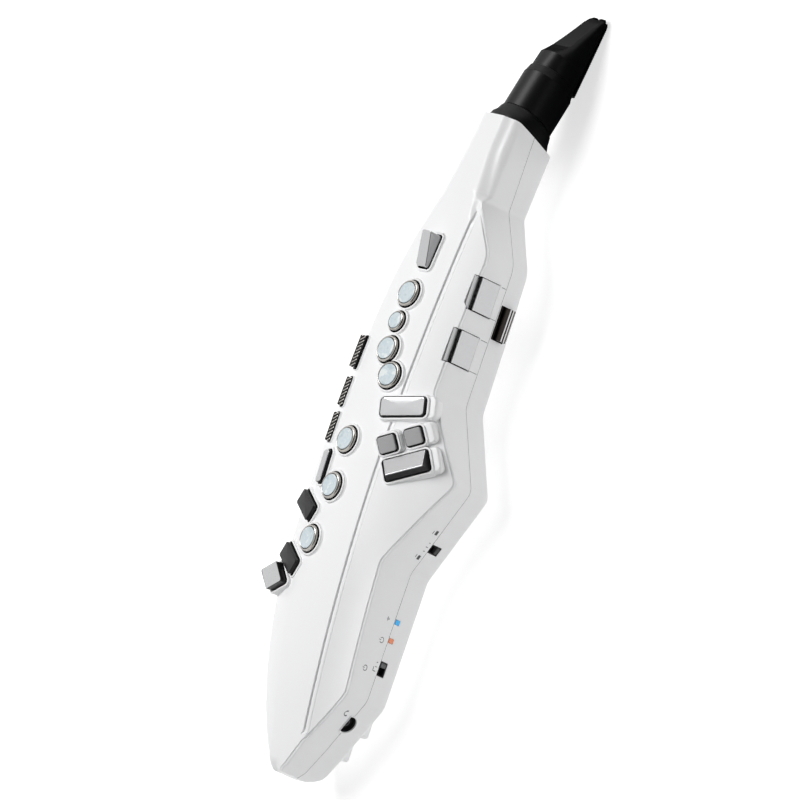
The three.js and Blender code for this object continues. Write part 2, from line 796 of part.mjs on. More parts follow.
// A frame on the wall at a share of the body's length, with Z straight out of it
function wallFrame(share, drop) {
  const y = share * bodyLength;
  const outward = new THREE.Vector3(1, -edgeSlope(y), 0).normalize();
  const upward = new THREE.Vector3(0, 0, 1);
  const alongWall = upward.clone().cross(outward);
  const matrix = new THREE.Matrix4().makeBasis(alongWall, upward, outward);
  matrix.setPosition(rightEdge(y), y, -drop);
  return matrix;
}

const switches = [
  {
    name: "tone_switch", frame: wallFrame(-0.2274, toneSwitchHeight / 2 + fit), isAlongBody: false,
    width: toneSwitchWidth, height: toneSwitchHeight,
  },
  {
    name: "power_switch", frame: wallFrame(-0.4133, powerSwitchHeight / 2 + fit), isAlongBody: true,
    width: powerSwitchWidth, height: powerSwitchHeight,
  },
];
const knobShare = 0.42;
const lamps = [
  { name: "blue_lamp", frame: wallFrame(-0.3423, lampDrop), color: 0x19b4f2 },
  { name: "orange_lamp", frame: wallFrame(-0.3704, lampDrop), color: 0xf2894a },
];
const jackFrame = wallFrame(-0.5039, 0);

// Front shell

function frontShell() {
  let shell = solidFrom(loft(stations.map((y) => frontRing(y, 0))));
  shell = shell.subtract(solidFrom(loft(innerStations.map((y) => frontRing(y, wall)))));
  for (const { frame, outline, lift, margin, padOutline = outline } of wellKeys) {
    shell = shell.add(placed(prism(grown(padOutline, margin), -padRoot - lift, padRise), frame));
  }
  for (const post of boardPosts) shell = shell.add(solidFrom(postSolid(post)));
  for (const { frame, outline, isRound } of wellKeys) {
    const pocketFloor = -padRoot - flangeThickness - keyTravel - 2 * fit;
    shell = shell.subtract(placed(prism(grown(outline, wellGap), pocketFloor, 4 * padRoot), frame));
    const pocket = grown(outline, flangeMargin + wellGap);
    if (!isRound) shell = shell.subtract(placed(prism(pocket, pocketFloor, -padRoot), frame));
  }
  for (const { y } of palmKeys) shell = shell.subtract(solidFrom(palmSolid(y, wellGap)));
  for (const item of switches) shell = shell.subtract(switchHole(item));
  return cut(shell, solidFrom(rimSide(true, 0)), airwayHole(), jackHole());
}

// Posts as shares of the left reach and of the body's length
const boardPosts = [
  [0.11, 0.191], [-0.36, 0.0415], [0.18, 0.025], [0, -0.079], [0.36, -0.166], [-0.11, -0.149], [0.07, -0.228],
  [-0.11, -0.303],
];

function postSolid([across, lengthwise]) {
  const x = across * leftReach;
  const y = lengthwise * bodyLength;
  const low = boardHeight + boardThickness + fit;
  return prism(circle(postRadius, smallSides), low, frontHeight(x, y) - wall / 2).translate(x, y, 0);
}

function airwayHole() {
  const hole = prism(circle(tubeRadius + fit, smallSides), -rimReach - tenonLength, neckRadius).rotateX(-Math.PI / 2);
  return placed(hole.rotateX(Math.PI), mouthpieceFrame);
}

// The jack's bore and the round recess before it
function jackHole() {
  const bore = placed(prism(circle(jackRadius + fit, smallSides), -jackLength, overrun), jackFrame);
  return bore.add(placed(prism(circle(jackRecessRadius), -switchRecess, overrun), jackFrame));
}

function switchHole({ frame, width, height }) {
  return placed(block(0, 0, -3 * wall, wall, width + fit, height + fit), frame);
}

// Rear shell with its battery bay, strap lug and posts

const bayWidth = cellColumns * 2 * cellRadius + 4 * fit;
const bayLength = cellRows * cellLength + 6 * fit;
const bayMiddle = batteryTop - bayLength / 2;
const bayCeiling = -rearDepth + wall + 2 * cellRadius + 2 * fit;
const coverFloor = -rearDepth + coverThickness + fit;
const speakerY = speakerPlace * bodyLength;
const lugAxisHeight = -rearDepth - lugDrop;
const rearPosts = [[-0.44, 0.0913], [0.4, 0.0705], [-0.47, -0.0788], [0.4, -0.0788]];
const footPlaces = [-0.4958, -0.5353];

function bayOpening(margin, low, high) {
  return block(0, bayMiddle, low, high, bayWidth + 2 * margin, bayLength + 2 * margin);
}

function rearShell() {
  let shell = solidFrom(loft(stations.map((y) => rearRing(y, 0))));
  shell = shell.subtract(solidFrom(loft(innerStations.map((y) => rearRing(y, wall)))));
  const floor = -rearDepth - overrun;
  const bay = solidFrom(bayOpening(bayWall, -rearDepth + wall / 2, bayCeiling + bayWall));
  shell = shell.add(bay).subtract(solidFrom(bayOpening(0, floor, bayCeiling)));
  const coverSeat = block(
    0, bayMiddle, floor, coverFloor, bayWidth + 2 * coverMargin, bayLength + 2 * coverMargin, coverMargin,
  );
  shell = shell.subtract(solidFrom(coverSeat));
  for (const [across, lengthwise] of rearPosts) {
    const post = prism(circle(postRadius, smallSides), -rearDepth + wall / 2, mainBoardHeight - fit);
    shell = shell.add(solidFrom(post.translate(across * leftReach, lengthwise * bodyLength, 0)));
  }
  shell = shell.add(lugSolid());
  for (const foot of standFeet()) shell = shell.add(solidFrom(foot));
  const speakerRing = cut(
    solidFrom(prism(circle(speakerRadius + fit + wall / 2), -rearDepth + wall / 2, -rearDepth + wall + speakerStand)),
    solidFrom(prism(circle(speakerRadius + fit), -rearDepth + wall, -rearDepth + 2 * wall + speakerStand)),
  );
  shell = shell.add(speakerRing.translate([0, speakerY, 0]));
  for (let slot = 0; slot < slotCount; slot += 1) {
    const offset = (slot - (slotCount - 1) / 2) * 2 * slotWidth;
    const length = 2 * Math.sqrt(speakerRadius ** 2 - offset ** 2) - 2 * slotWidth;
    const opening = block(0, speakerY + offset, floor, -rearDepth + wall + fit, length, slotWidth, slotWidth / 3);
    shell = shell.subtract(solidFrom(opening));
  }
  for (const { shape } of rearOpenings) shell = shell.subtract(solidFrom(shape));
  for (const item of switches) shell = shell.subtract(switchHole(item));
  for (const { frame } of lamps) {
    shell = shell.subtract(placed(block(0, 0, -3 * wall, wall, lampWidth + fit, lampHeight + fit), frame));
  }
  shell = shell.subtract(solidFrom(barKeySolid(wellGap)));
  return cut(shell, solidFrom(rimSide(true, 0)), airwayHole(), jackHole());
}

// Two cross ribs under the bell end
function standFeet() {
  return footPlaces.map((share) => {
    const y = share * bodyLength;
    const right = rightEdge(y - footLength / 2) - footInset;
    const left = leftEdge(y - footLength / 2) + 2 * footInset;
    const low = rearHeight(y) - footHeight;
    const high = rearHeight(y) + wall / 2;
    return block((left + right) / 2, y, low, high, right - left, footLength, footInset);
  });
}

function lugSolid() {
  const half = lugHole + lugRim;
  const ringY = ringPlace * bodyLength;
  const outline = rounded([
    [-half, -rearDepth + wall / 2], [-half, lugAxisHeight - half], [half, lugAxisHeight - half],
    [half, -rearDepth + wall / 2],
  ].map(([u, v]) => new THREE.Vector2(u, v)), lugRim / 2);
  const shape = loft([-1, 1].map((side) => (
    outline.map((point) => new THREE.Vector3((side * lugThickness) / 2, point.x + ringY, point.y))
  )));
  const hole = loft([-1, 1].map((side) => (
    circle(lugHole, smallSides).map((point) => (
      new THREE.Vector3(side * lugThickness, point.x + ringY, point.y + lugAxisHeight)
    ))
  )));
  return solidFrom(shape).subtract(solidFrom(hole));
}

// Parts let into the back, each with the hole that it sits in

const backPlane = -rearDepth;
const displayGlass = { color: 0x14181c, roughness: 0.1, metalness: 0 };
const displayY = displayPlace * bodyLength;
const thumbX = -0.036 * leftReach;
const thumbY = 0.1079 * bodyLength;
const octaveReach = 0.0436 * bodyLength;
const rearInserts = [
  {
    name: "display_window", x: 0, y: displayY, finish: displayGlass, stand: -displayRecess,
    outline: rectangle(displayWidth, displayLength, leastRadius),
  },
  {
    name: "menu_button", x: -0.382 * leftReach, y: displayY, finish: blackPlastic, stand: menuButtonStand,
    outline: rectangle(menuButtonWidth, menuButtonLength, menuButtonWidth / 5),
  },
  {
    name: "volume_knob", x: 0.436 * leftReach, y: displayY, finish: blackPlastic, stand: volumeKnobStand,
    outline: circle(volumeKnobSize / 2),
  },
  {
    name: "octave_key_up", x: thumbX, y: thumbY + octaveReach, finish: silver, stand: octaveKeyStand,
    outline: rectangle(octaveKeyWidth, octaveKeyLength, octaveKeyLength / 3),
  },
  {
    name: "octave_key_down", x: thumbX, y: thumbY - octaveReach, finish: silver, stand: octaveKeyStand,
    outline: rectangle(octaveKeyWidth, octaveKeyLength, octaveKeyLength / 3),
  },
  {
    name: "thumb_rest", x: thumbX, y: thumbY, finish: rubber, stand: thumbRestStand,
    outline: rectangle(thumbRestWidth, thumbRestLength, thumbRestWidth * 0.47),
  },
  {
    name: "thumb_pad", x: 0.345 * leftReach, y: thumbY, finish: rubber, stand: thumbPadStand,
    outline: rectangle(thumbPadWidth, thumbPadLength, thumbPadWidth * 0.27),
  },
];
const rearOpenings = rearInserts.map(({ x, y, outline }) => ({
  shape: prism(grown(outline, wellGap), rearHeight(y) - 2 * overrun, backPlane + 3 * wall).translate(x, y, 0),
}));

function insertSolid({ x, y, outline, stand }) {
  const skin = rearHeight(y);
  return stack([
    [grown(outline, flangeMargin), skin + insertRoot + flangeThickness],
    [grown(outline, flangeMargin), skin + insertRoot - fit],
    [outline, skin + insertRoot - fit],
    [outline, skin - stand + edgeBreak / 2],
    [grown(outline, -edgeBreak / 2), skin - stand],
  ]).translate(x, y, 0);
}

// Mouthpiece

// A closed section across the mouthpiece axis, round on top and flatter below
function mouthRing(at, half, top, bottom, power) {
  const sides = 20;
  return Array.from({ length: sides }, (_, side) => {
    const angle = (side / sides) * 2 * Math.PI;
    const shape = (value) => Math.sign(value) * Math.abs(value) ** (2 / power);
    const middle = (top + bottom) / 2;
    const x = half * shape(Math.cos(angle));
    const height = middle + ((top - bottom) / 2) * shape(Math.sin(angle));
    return new THREE.Vector3(x, at, height);
  });
}

const beakShares = [
  [0.003, 1, 1, -1, 2.2], [0.31, 1, 1, -1, 2.2], [0.316, 0.985, 0.98, -0.98, 2.2], [0.375, 0.9, 0.92, -0.9, 2.3],
  [0.38, 0.86, 0.88, -0.86, 2.3], [0.51, 0.81, 0.84, -0.8, 2.6], [0.545, 0.77, 0.72, -0.75, 2.8],
  [0.62, 0.71, 0.5, -0.7, 3], [0.73, 0.62, 0.24, -0.655, 3.2], [0.84, 0.53, -0.03, -0.595, 3.4],
  [0.93, 0.46, -0.25, -0.535, 3.4], [0.975, 0.43, -0.355, -0.5, 3], [1, 0.34, -0.405, -0.46, 2.6],
];

const socketDepth = tenonLength + 2 * fit;
const airwayRise = 3;
const slotShares = [[0.66, -0.3], [0.86, -0.5], [1.02, -0.44]];
const reedHeelShare = 0.384;
const reedTipShare = 0.992;
const reedLineShares = [0.875, 0.545];
const reedTaperShares = [[0, 1], [0.4, 0.8], [1, 0.22]];

function mouthpiece() {
  const body = solidFrom(loft(beakShares.map(([at, width, top, bottom, power]) => mouthRing(
    at * mouthpieceLength, width * barrelHalfWidth, top * barrelHalfDepth, bottom * barrelHalfDepth, power,
  ))));
  const socket = solidFrom(prism(circle(tenonRadius + fit), -overrun, socketDepth).rotateX(-Math.PI / 2));
  const airway = solidFrom(
    prism(circle(airwayRadius, smallSides), 0, mouthpieceLength * 0.75).rotateX(-Math.PI / 2 + radians(airwayRise)),
  );
  const slot = solidFrom(loft(slotShares.map(([at, height]) => {
    const half = tipSlotWidth / 2;
    const low = -barrelHalfDepth;
    const high = height * barrelHalfDepth;
    return [[-half, low], [half, low], [half, high], [-half, high]]
      .map(([x, z]) => new THREE.Vector3(x, at * mouthpieceLength, z));
  })));
  return cut(body, socket, airway, slot);
}

function reed() {
  const heel = reedHeelShare * mouthpieceLength;
  const tip = reedTipShare * mouthpieceLength;
  return loft(reedTaperShares.map(([share, thickness]) => {
    const half = reedHalfWidth * lerp(1, 0.92, share);
    const top = -barrelHalfDepth * lerp(...reedLineShares, share) - fit;
    const side = top - reedThickness * thickness;
    const bottom = side - fit;
    return [[-half, top], [-half, side], [-half * 0.7, bottom], [half * 0.7, bottom], [half, side], [half, top]]
      .map(([x, z]) => new THREE.Vector3(x, lerp(heel, tip, share), z));
  }));
}

// Rows of [place, added half width, half depth, power], with the foot's depth for the last rows
const collarFoot = (grooveHeight + rearDepth) * 0.395;
const collarRows = [
  [-2 * neckRadius, neckRight - 4 * fit, collarFoot + 5 * fit, 3.2],
  [-neckRadius, neckRight - 4 * fit, collarFoot, 3.2],
  [-neckRadius / 2, neckRight - 3 * fit, barrelHalfDepth + 5 * fit, 2.7],
  [-fit, barrelHalfWidth + 2 * fit, barrelHalfDepth + 2 * fit, 2.3],
];

function neckCollar() {
  const flare = solidFrom(loft(collarRows.map(([at, half, depth, power]) => mouthRing(at, half, depth, -depth, power))));
  const tenon = solidFrom(prism(circle(tenonRadius), -neckRadius, tenonLength).rotateX(-Math.PI / 2));
  const bore = solidFrom(
    prism(circle(tubeRadius / 2, smallSides), -4 * neckRadius, 2 * tenonLength).rotateX(-Math.PI / 2),
  );
  const body = cut(join(flare, tenon), bore).transform(mouthpieceFrame.toArray());
  return body.subtract(solidFrom(rimSide(false, fit)));
}

// Assembly

const instrument = new THREE.Group();

function add(name, geometry, finish, matrix) {
  const mesh = new THREE.Mesh(geometry, new THREE.MeshStandardMaterial(finish));
  mesh.name = name;
  if (matrix) {
    const holder = new THREE.Group();
    holder.applyMatrix4(matrix);
    holder.add(mesh);
    instrument.add(holder);
  } else {
    instrument.add(mesh);
  }
  return mesh;
}

add("front_shell", geometryFrom(frontShell()), whitePlastic);
add("rear_shell", geometryFrom(rearShell()), whitePlastic);
add("neck_collar", geometryFrom(neckCollar()), blackPlastic);
add("mouthpiece", geometryFrom(mouthpiece()), blackPlastic, mouthpieceFrame);
add("reed", reed(), rubber, mouthpieceFrame);

for (const { name, radius, outline, frame } of pearlKeys) {
  const rise = padRise + keyRise;
  const pocket = solidFrom(prism(circle(radius * inlayShare + fit), rise - inlayDepth, rise + overrun));
  const stemTop = -padRoot - fit - flangeThickness / 2;
  const stemLength = frontHeight(frame.elements[12], frame.elements[13]) - boardHeight - boardThickness;
  const stem = solidFrom(prism(circle(stemRadius, smallSides), 2 * keyTravel - stemLength, stemTop));
  const cap = stack([
    [outline, -padRoot - fit - flangeThickness], [outline, rise - edgeBreak], [grown(outline, -edgeBreak), rise],
  ]);
  add(`pearl_key_${name}`, geometryFrom(solidFrom(cap).subtract(pocket).add(stem)), silver, frame);
  const inlay = circle(radius * inlayShare);
  const bottom = rise - inlayDepth + fit;
  add(`pearl_${name}`, stack([
    [inlay, bottom], [inlay, rise], [grown(inlay, -edgeBreak * 2), rise + inlayStand],
  ]), pearl, frame);
}
for (const { name, outline, rise, shank, finish, frame } of flatKeys) {
  add(name, keySolid(outline, rise, shank), finish, frame);
}
for (const { name, shape, finish, frame } of wedgeKeys) add(name, wedgeSolid(shape), finish, frame);
for (const { name, y } of palmKeys) add(name, palmSolid(y, 0), silver);
add("palm_key_3", barKeySolid(0), darkSilver);

for (const { name, frame, width, height, isAlongBody } of switches) {
  const bedTop = -switchRecess - wall;
  const knobWidth = isAlongBody ? width * knobShare : width - 2 * fit;
  const knobHeight = isAlongBody ? height - 2 * fit : height * knobShare;
  const shiftX = isAlongBody ? (width - knobWidth) / 2 - fit : 0;
  const shiftY = isAlongBody ? 0 : (knobHeight - height) / 2 + fit;
  add(`${name}_bed`, block(0, 0, -3 * wall, bedTop, width, height), blackPlastic, frame);
  add(name, block(shiftX, shiftY, bedTop + fit, knobStand, knobWidth, knobHeight, edgeBreak), greyPlastic, frame);
}
for (const { name, frame, color } of lamps) {
  const lens = block(0, 0, -wall - leastRadius, knobStand, lampWidth, lampHeight, edgeBreak);
  add(name, lens, { color, roughness: 0.2, metalness: 0 }, frame);
}
const jackBody = cut(
  solidFrom(prism(circle(jackRadius, smallSides), -jackLength + fit, -switchRecess)),
  solidFrom(prism(circle(jackBore, smallSides), -jackLength - overrun, overrun)),
);
add("phones_jack", geometryFrom(jackBody), blackPlastic, jackFrame);

for (const item of rearInserts) add(item.name, insertSolid(item), item.finish);

// Boards, cells, speaker and sensor inside

// Two cells end to end, touching at the nub of one of them
function cellLevels() {
  const wide = circle(cellRadius, smallSides);
  const nub = circle(cellRadius * 0.4, smallSides);
  const nubHeight = cellLength * 0.03;
  const cell = (base) => [
    [wide, base], [wide, base + cellLength - nubHeight], [nub, base + cellLength - nubHeight], [nub, base + cellLength],
  ];
  return [...cell(-cellLength), ...cell(0)];
}

// Corners as shares of the left reach and of the body's length
const keyBoardShares = [
  [0.22, 0.2075], [0.255, -0.0083], [0.545, -0.025], [0.836, -0.087], [0.8, -0.1743], [0.18, -0.1867],
  [0.18, -0.3154], [-0.58, -0.3154], [-0.58, -0.1245], [-0.545, 0.0415], [-0.4, 0.1245], [-0.33, 0.2075],
];
const keyBoardOutline = keyBoardShares.map(([across, lengthwise]) => (
  new THREE.Vector2(across * leftReach, lengthwise * bodyLength)
));
add("key_board", prism(keyBoardOutline, boardHeight, boardHeight + boardThickness), boardGreen);
const mainBoardTop = mainBoardHeight + boardThickness;
add("main_board", block(thumbX, 0, mainBoardHeight, mainBoardTop, mainBoardWidth, mainBoardLength, 2 * fit), boardGreen);

for (let column = 0; column < cellColumns; column += 1) {
  const x = (column - (cellColumns - 1) / 2) * (2 * cellRadius + fit);
  const cells = stack(cellLevels()).rotateX(Math.PI / 2).translate(x, bayMiddle, coverFloor + cellRadius);
  add(`battery_pair_${column + 1}`, cells, steel);
}
const coverWidth = bayWidth + 2 * (coverMargin - fit);
const coverLength = bayLength + 2 * (coverMargin - fit);
add("battery_cover", block(
  0, bayMiddle, backPlane, coverFloor - fit, coverWidth, coverLength, coverMargin - fit,
), whitePlastic);
const speakerLow = -rearDepth + wall;
add("speaker", stack([
  [circle(speakerRadius), speakerLow + fit], [circle(speakerRadius), speakerLow + speakerDepth / 2],
  [circle(speakerRadius * 0.6), speakerLow + speakerDepth],
]).translate(0, speakerY, 0), rubber);

const sensorY = neckPlug - fit - sensorLength / 2;
const sensorLow = -sensorHeight / 2 + fit;
add("breath_sensor", block(
  barrelX, sensorY, sensorLow, sensorLow + sensorHeight, sensorWidth, sensorLength, leastRadius,
), blackPlastic);

// Strap ring and thumb hook

const ringShape = new THREE.TorusGeometry(ringRadius, ringTube, 8, roundSides);
add("strap_ring", ringShape.translate(0, ringPlace * bodyLength + ringRadius, lugAxisHeight), steel);

// A plate on the back with an arm that curls under the thumb
const hookY = hookPlace * bodyLength;
const hookTop = backPlane - fit;
const hookCentreHeight = hookTop - hookThickness / 2 - hookRadius;
const hookAngles = [62, 40, 18, -4, -26, -48, -70, -92, -112];
const hookArc = (radius, angles) => angles.map((angle) => new THREE.Vector2(
  hookY + radius * Math.cos(radians(angle)), hookCentreHeight + radius * Math.sin(radians(angle)),
));
const hookArmOutline = [
  ...hookArc(hookRadius + hookThickness / 2, hookAngles),
  ...hookArc(hookRadius - hookThickness / 2, [...hookAngles].reverse()),
];
const hookArm = loft([-hookWidth / 2, hookWidth / 2].map((x) => (
  hookArmOutline.map((point) => new THREE.Vector3(x, point.x, point.y))
)));
const hookBase = block(0, hookY, hookTop - hookThickness, hookTop, hookWidth, hookBaseLength, hookThickness);
add("thumb_hook", geometryFrom(join(solidFrom(hookBase), solidFrom(hookArm))), blackPlastic);

const bounds = new THREE.Box3().setFromObject(instrument, true);
instrument.position.set(
  -(bounds.min.x + bounds.max.x) / 2, -(bounds.min.y + bounds.max.y) / 2, -bounds.min.z,
);
const part = new THREE.Group();
part.add(instrument);
part.updateMatrixWorld(true);
export default part;
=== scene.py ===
import json
import math
from functools import cache

import bmesh
import bpy
import numpy as np
from mathutils import Matrix, Vector


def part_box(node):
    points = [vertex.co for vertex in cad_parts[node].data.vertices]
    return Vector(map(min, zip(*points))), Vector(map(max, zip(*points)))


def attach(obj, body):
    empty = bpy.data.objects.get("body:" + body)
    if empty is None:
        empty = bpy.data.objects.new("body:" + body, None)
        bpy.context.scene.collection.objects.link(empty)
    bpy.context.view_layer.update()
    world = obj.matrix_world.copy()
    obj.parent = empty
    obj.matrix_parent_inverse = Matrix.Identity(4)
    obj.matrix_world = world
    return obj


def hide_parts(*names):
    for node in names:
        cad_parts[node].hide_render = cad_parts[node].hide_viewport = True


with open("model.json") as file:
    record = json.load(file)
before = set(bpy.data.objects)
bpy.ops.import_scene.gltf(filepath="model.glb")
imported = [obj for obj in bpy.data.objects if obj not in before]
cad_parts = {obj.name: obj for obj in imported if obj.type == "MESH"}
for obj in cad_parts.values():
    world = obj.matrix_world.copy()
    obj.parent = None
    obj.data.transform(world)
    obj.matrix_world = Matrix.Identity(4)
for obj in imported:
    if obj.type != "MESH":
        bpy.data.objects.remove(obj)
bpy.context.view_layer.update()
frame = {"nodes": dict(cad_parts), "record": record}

# Lengths below are millimetres from the middle of the seam plane, as in the solid's own source
MM = 0.001
lowest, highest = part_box("main_board")
SHIFT = (Vector(lowest) + Vector(highest)) / 2 - Vector((-1.98, 0, -0.2)) * MM
IDENTITY = Matrix()

NECK_TOP, FLARE_START, BELL_END = 194.0, 132.0, -288.0
BODY_LENGTH = NECK_TOP - BELL_END
GROOVE_X, GROOVE_HALF, GROOVE_DEPTH = 18.0, 2.3, 1.2
FOLD_DIP = 1.8
SEAM_GAP = 0.3
REAR_DEPTH = 22.0
LEFT_REACH = 55.0
PAD_RISE, PAD_ROOT, PAD_BAND = 1.6, 4.2, 1.4
STEP_DROP = 1.6
WELL_GAP, WELL_DEPTH = 0.9, 7.5
KEY_ROOT = -4.4

# Right edge of the body: y, x and radius of each bend
RIGHT_CORNERS = [
    (206, 17.5, 1), (132, 17.5, 2), (95, 38.6, 26), (-8, 38.6, 14), (-65, 69, 9),
    (-130, 40.4, 12), (-224, 40.4, 13), (-264, 19.1, 13), (-283, 7.6, 7), (-289, 0.6, 1),
]
# Share of the body's length from the neck, and the value there
LEFT_TABLE = [
    (0, -0.285), (0.09, -0.4), (0.162, -0.535), (0.255, -0.735), (0.365, -0.82), (0.508, -0.92),
    (0.66, -1), (0.768, -0.99), (0.857, -0.8), (0.934, -0.52), (0.985, -0.24), (1, -0.12),
]
CREASE_TABLE = [
    (0, -0.2), (0.085, -0.27), (0.168, -0.44), (0.272, -0.53), (0.376, -0.545), (0.52, -0.56),
    (0.664, -0.53), (0.768, -0.49), (0.863, -0.36), (1, -0.14),
]
DEPTH_TABLE = [(0, 1.18), (0.13, 0.92), (0.205, 0.85), (0.4, 1), (1, 1)]
TABLE_SOFTENING = 14
# Place across the groove or the fold and share of its depth
GROOVE_PROFILE = [
    (-0.92, 0.12), (-0.8, 1.9), (-0.66, 2.0), (-0.5, 1.0), (0, 0.92), (0.52, 0.88), (0.67, 1.5), (0.78, 1.5),
    (0.92, 0.1), (1, 0),
]
FOLD_PROFILE = [(-0.65, 0.1), (-0.35, 0.55), (-0.12, 1), (0.16, 1), (0.42, 0.15)]
# Edge of the neck where the collar meets it: share of its height and of its drop
RIM = [
    (1.3, -0.004), (0.85, 0.008), (0.6, 0.024), (0.34, 0.067), (0.03, 0.125), (-0.5, 0.232), (-0.67, 0.27),
    (-1.2, 0.383),
]
RIM_LINE = [(NECK_TOP - drop * NECK_TOP * 0.26, height * 32.3) for height, drop in RIM]


# Body outline and heights

def clamp(value):
    return min(max(value, 0), 1)


def blend(value, places, values):
    return float(np.interp(value, places, values))


def spread(low, high, count):
    return [low + (high - low) * i / (count - 1) for i in range(count)]


def table_value(table, scale, y):
    """Reads a table at y, averaged over a stretch so that its bends are soft."""
    places = [NECK_TOP - place * BODY_LENGTH for place, _ in reversed(table)]
    values = [value * scale for _, value in reversed(table)]
    samples = y + np.linspace(-TABLE_SOFTENING, TABLE_SOFTENING, 13)
    return float(np.mean(np.interp(samples, places, values)))


def rounded_line(corners, steps=9):
    """Points of an open line of (y, x, radius) corners, with each bend rounded."""
    points = [Vector(corners[0][:2])]
    for before, corner, after in zip(corners, corners[1:], corners[2:]):
        here = Vector(corner[:2])
        a = (Vector(before[:2]) - here).normalized()
        b = (Vector(after[:2]) - here).normalized()
        reach = corner[2] / math.tan(math.acos(max(-1, min(1, a.dot(b)))) / 2)
        for t in spread(0, 1, steps + 1):
            points.append(here + a * reach * (1 - t) ** 2 + b * reach * t ** 2)
    points.append(Vector(corners[-1][:2]))
    return [p.x for p in points], [p.y for p in points]


RIGHT_PLACES, RIGHT_VALUES = [values[::-1] for values in rounded_line(RIGHT_CORNERS)]


@cache
def right_edge(y):
    return blend(y, RIGHT_PLACES, RIGHT_VALUES)


@cache
def left_edge(y):
    return table_value(LEFT_TABLE, LEFT_REACH, y)


@cache
def crease_x(y):
    return table_value(CREASE_TABLE, LEFT_REACH, y)


@cache
def rear_height(y):
    return -table_value(DEPTH_TABLE, REAR_DEPTH, y)


@cache
def ridge_height(y):
    distance = min(y, FLARE_START) + 60
    radius = 1462.0 if distance > 0 else 1064.0
    return 44.3 - distance ** 2 / (2 * radius) - max(y - FLARE_START, 0) * 0.07


def front_height(x, y):
    """Height of the front skin: the left flank, the crowned panel up to the groove, then the sloping wing."""
    ridge, crease = ridge_height(y), crease_x(y)
    if x > GROOVE_X:
        beside, low = x - GROOVE_X, clamp((-112 - y) / 50)
        return ridge - (1 - low) * beside * (0.35 + beside / 254) - low * beside * (0.66 - beside / 100)
    flank = max(crease - x, 0)
    return ridge + 0.7 - (max(x, crease) - 6) ** 2 / 222 - flank * (0.38 + flank / 164)


# Mesh helpers

def new_object(name, data):
    obj = bpy.data.objects.new(name, data)
    bpy.context.scene.collection.objects.link(obj)
    return obj


def make_object(name, points, faces, matrix=IDENTITY):
    """An object from points in mm in the frame of the matrix, with its faces turned outwards."""
    mesh = bpy.data.meshes.new(name)
    mesh.from_pydata([tuple((matrix @ Vector(p)) * MM + SHIFT) for p in points], [], faces)
    mesh.validate()
    bm = bmesh.new()
    bm.from_mesh(mesh)
    bmesh.ops.remove_doubles(bm, verts=bm.verts, dist=1e-7)
    bmesh.ops.recalc_face_normals(bm, faces=bm.faces)
    bm.to_mesh(mesh)
    bm.free()
    return new_object(name, mesh)


def loft(name, rings, matrix=IDENTITY):
    """A closed solid through rings of points, with a flat cap on both ends."""
    count, faces = len(rings[0]), []
    for ring in range(len(rings) - 1):
        for side in range(count):
            a, b = ring * count + side, ring * count + (side + 1) % count
            faces.append((a, b, b + count, a + count))
    faces.append(tuple(range(count))[::-1])
    faces.append(tuple((len(rings) - 1) * count + i for i in range(count)))
    return make_object(name, [p for ring in rings for p in ring], faces, matrix)


def stack(name, levels, matrix=IDENTITY):
    """A loft through (outline, height) levels."""
    return loft(name, [[(x, y, height) for x, y in outline] for outline, height in levels], matrix)


def prism_x(name, outline, low, high, matrix=IDENTITY):
    """A (y, z) outline drawn out along X."""
    return loft(name, [[(x, y, z) for y, z in outline] for x in (low, high)], matrix)


def prism_y(name, outline, low, high, matrix=IDENTITY):
    """An (x, z) outline drawn out along Y."""
    return loft(name, [[(x, y, z) for x, z in outline] for y in (low, high)], matrix)


def revolve(name, profile, matrix, segments=96, teeth=0, depth=0.0, band=(0, 0)):
    """Turns a profile of (radius, height) rows about Z, with teeth on the rows inside a band of heights."""
    rings = []
    for radius, height in profile:
        ring = []
        for step in range(segments):
            angle = 2 * math.pi * step / segments
            r = radius
            if teeth and band[0] <= height <= band[1]:
                r -= depth * (0.5 - 0.5 * math.cos(teeth * angle))
            ring.append((r * math.cos(angle), r * math.sin(angle), height))
        rings.append(ring)
    return loft(name, rings, matrix)


def loop(name, radius, thick, matrix, around=96, sides=20):
    """A ring of round wire."""
    points, faces = [], []
    for i in range(around):
        a = 2 * math.pi * i / around
        for j in range(sides):
            b = 2 * math.pi * j / sides
            reach = radius + thick * math.cos(b)
            points.append((reach * math.cos(a), reach * math.sin(a), thick * math.sin(b)))
            following, above = (i + 1) % around * sides, (j + 1) % sides
            faces.append((i * sides + j, following + j, following + above, i * sides + above))
    return make_object(name, points, faces, matrix)


def arc_points(radius, start, end, steps):
    """Points on an arc about the origin, from one angle to the other in radians."""
    return [(radius * math.cos(a), radius * math.sin(a)) for a in spread(start, end, steps + 1)]


def circle(radius, sides=72):
    return arc_points(radius, 0, 2 * math.pi, sides)[:-1]


def rounded(corners, radius, steps=7):
    """A closed outline with every corner rounded."""
    points = []
    for index, corner in enumerate(corners):
        here = Vector(corner)
        a = (Vector(corners[index - 1]) - here).normalized()
        b = (Vector(corners[(index + 1) % len(corners)]) - here).normalized()
        half = math.acos(max(-1, min(1, a.dot(b)))) / 2
        centre = here + (a + b).normalized() * radius / math.sin(half)
        start = here + a * radius / math.tan(half) - centre
        turn = math.pi - 2 * half
        if a.x * b.y - a.y * b.x > 0:
            turn = -turn
        for angle in spread(0, turn, steps + 1):
            c, s = math.cos(angle), math.sin(angle)
            points.append((centre.x + start.x * c - start.y * s, centre.y + start.x * s + start.y * c))
    return points


def rectangle(width, length, radius):
    return leaning(width, length, 0, radius)


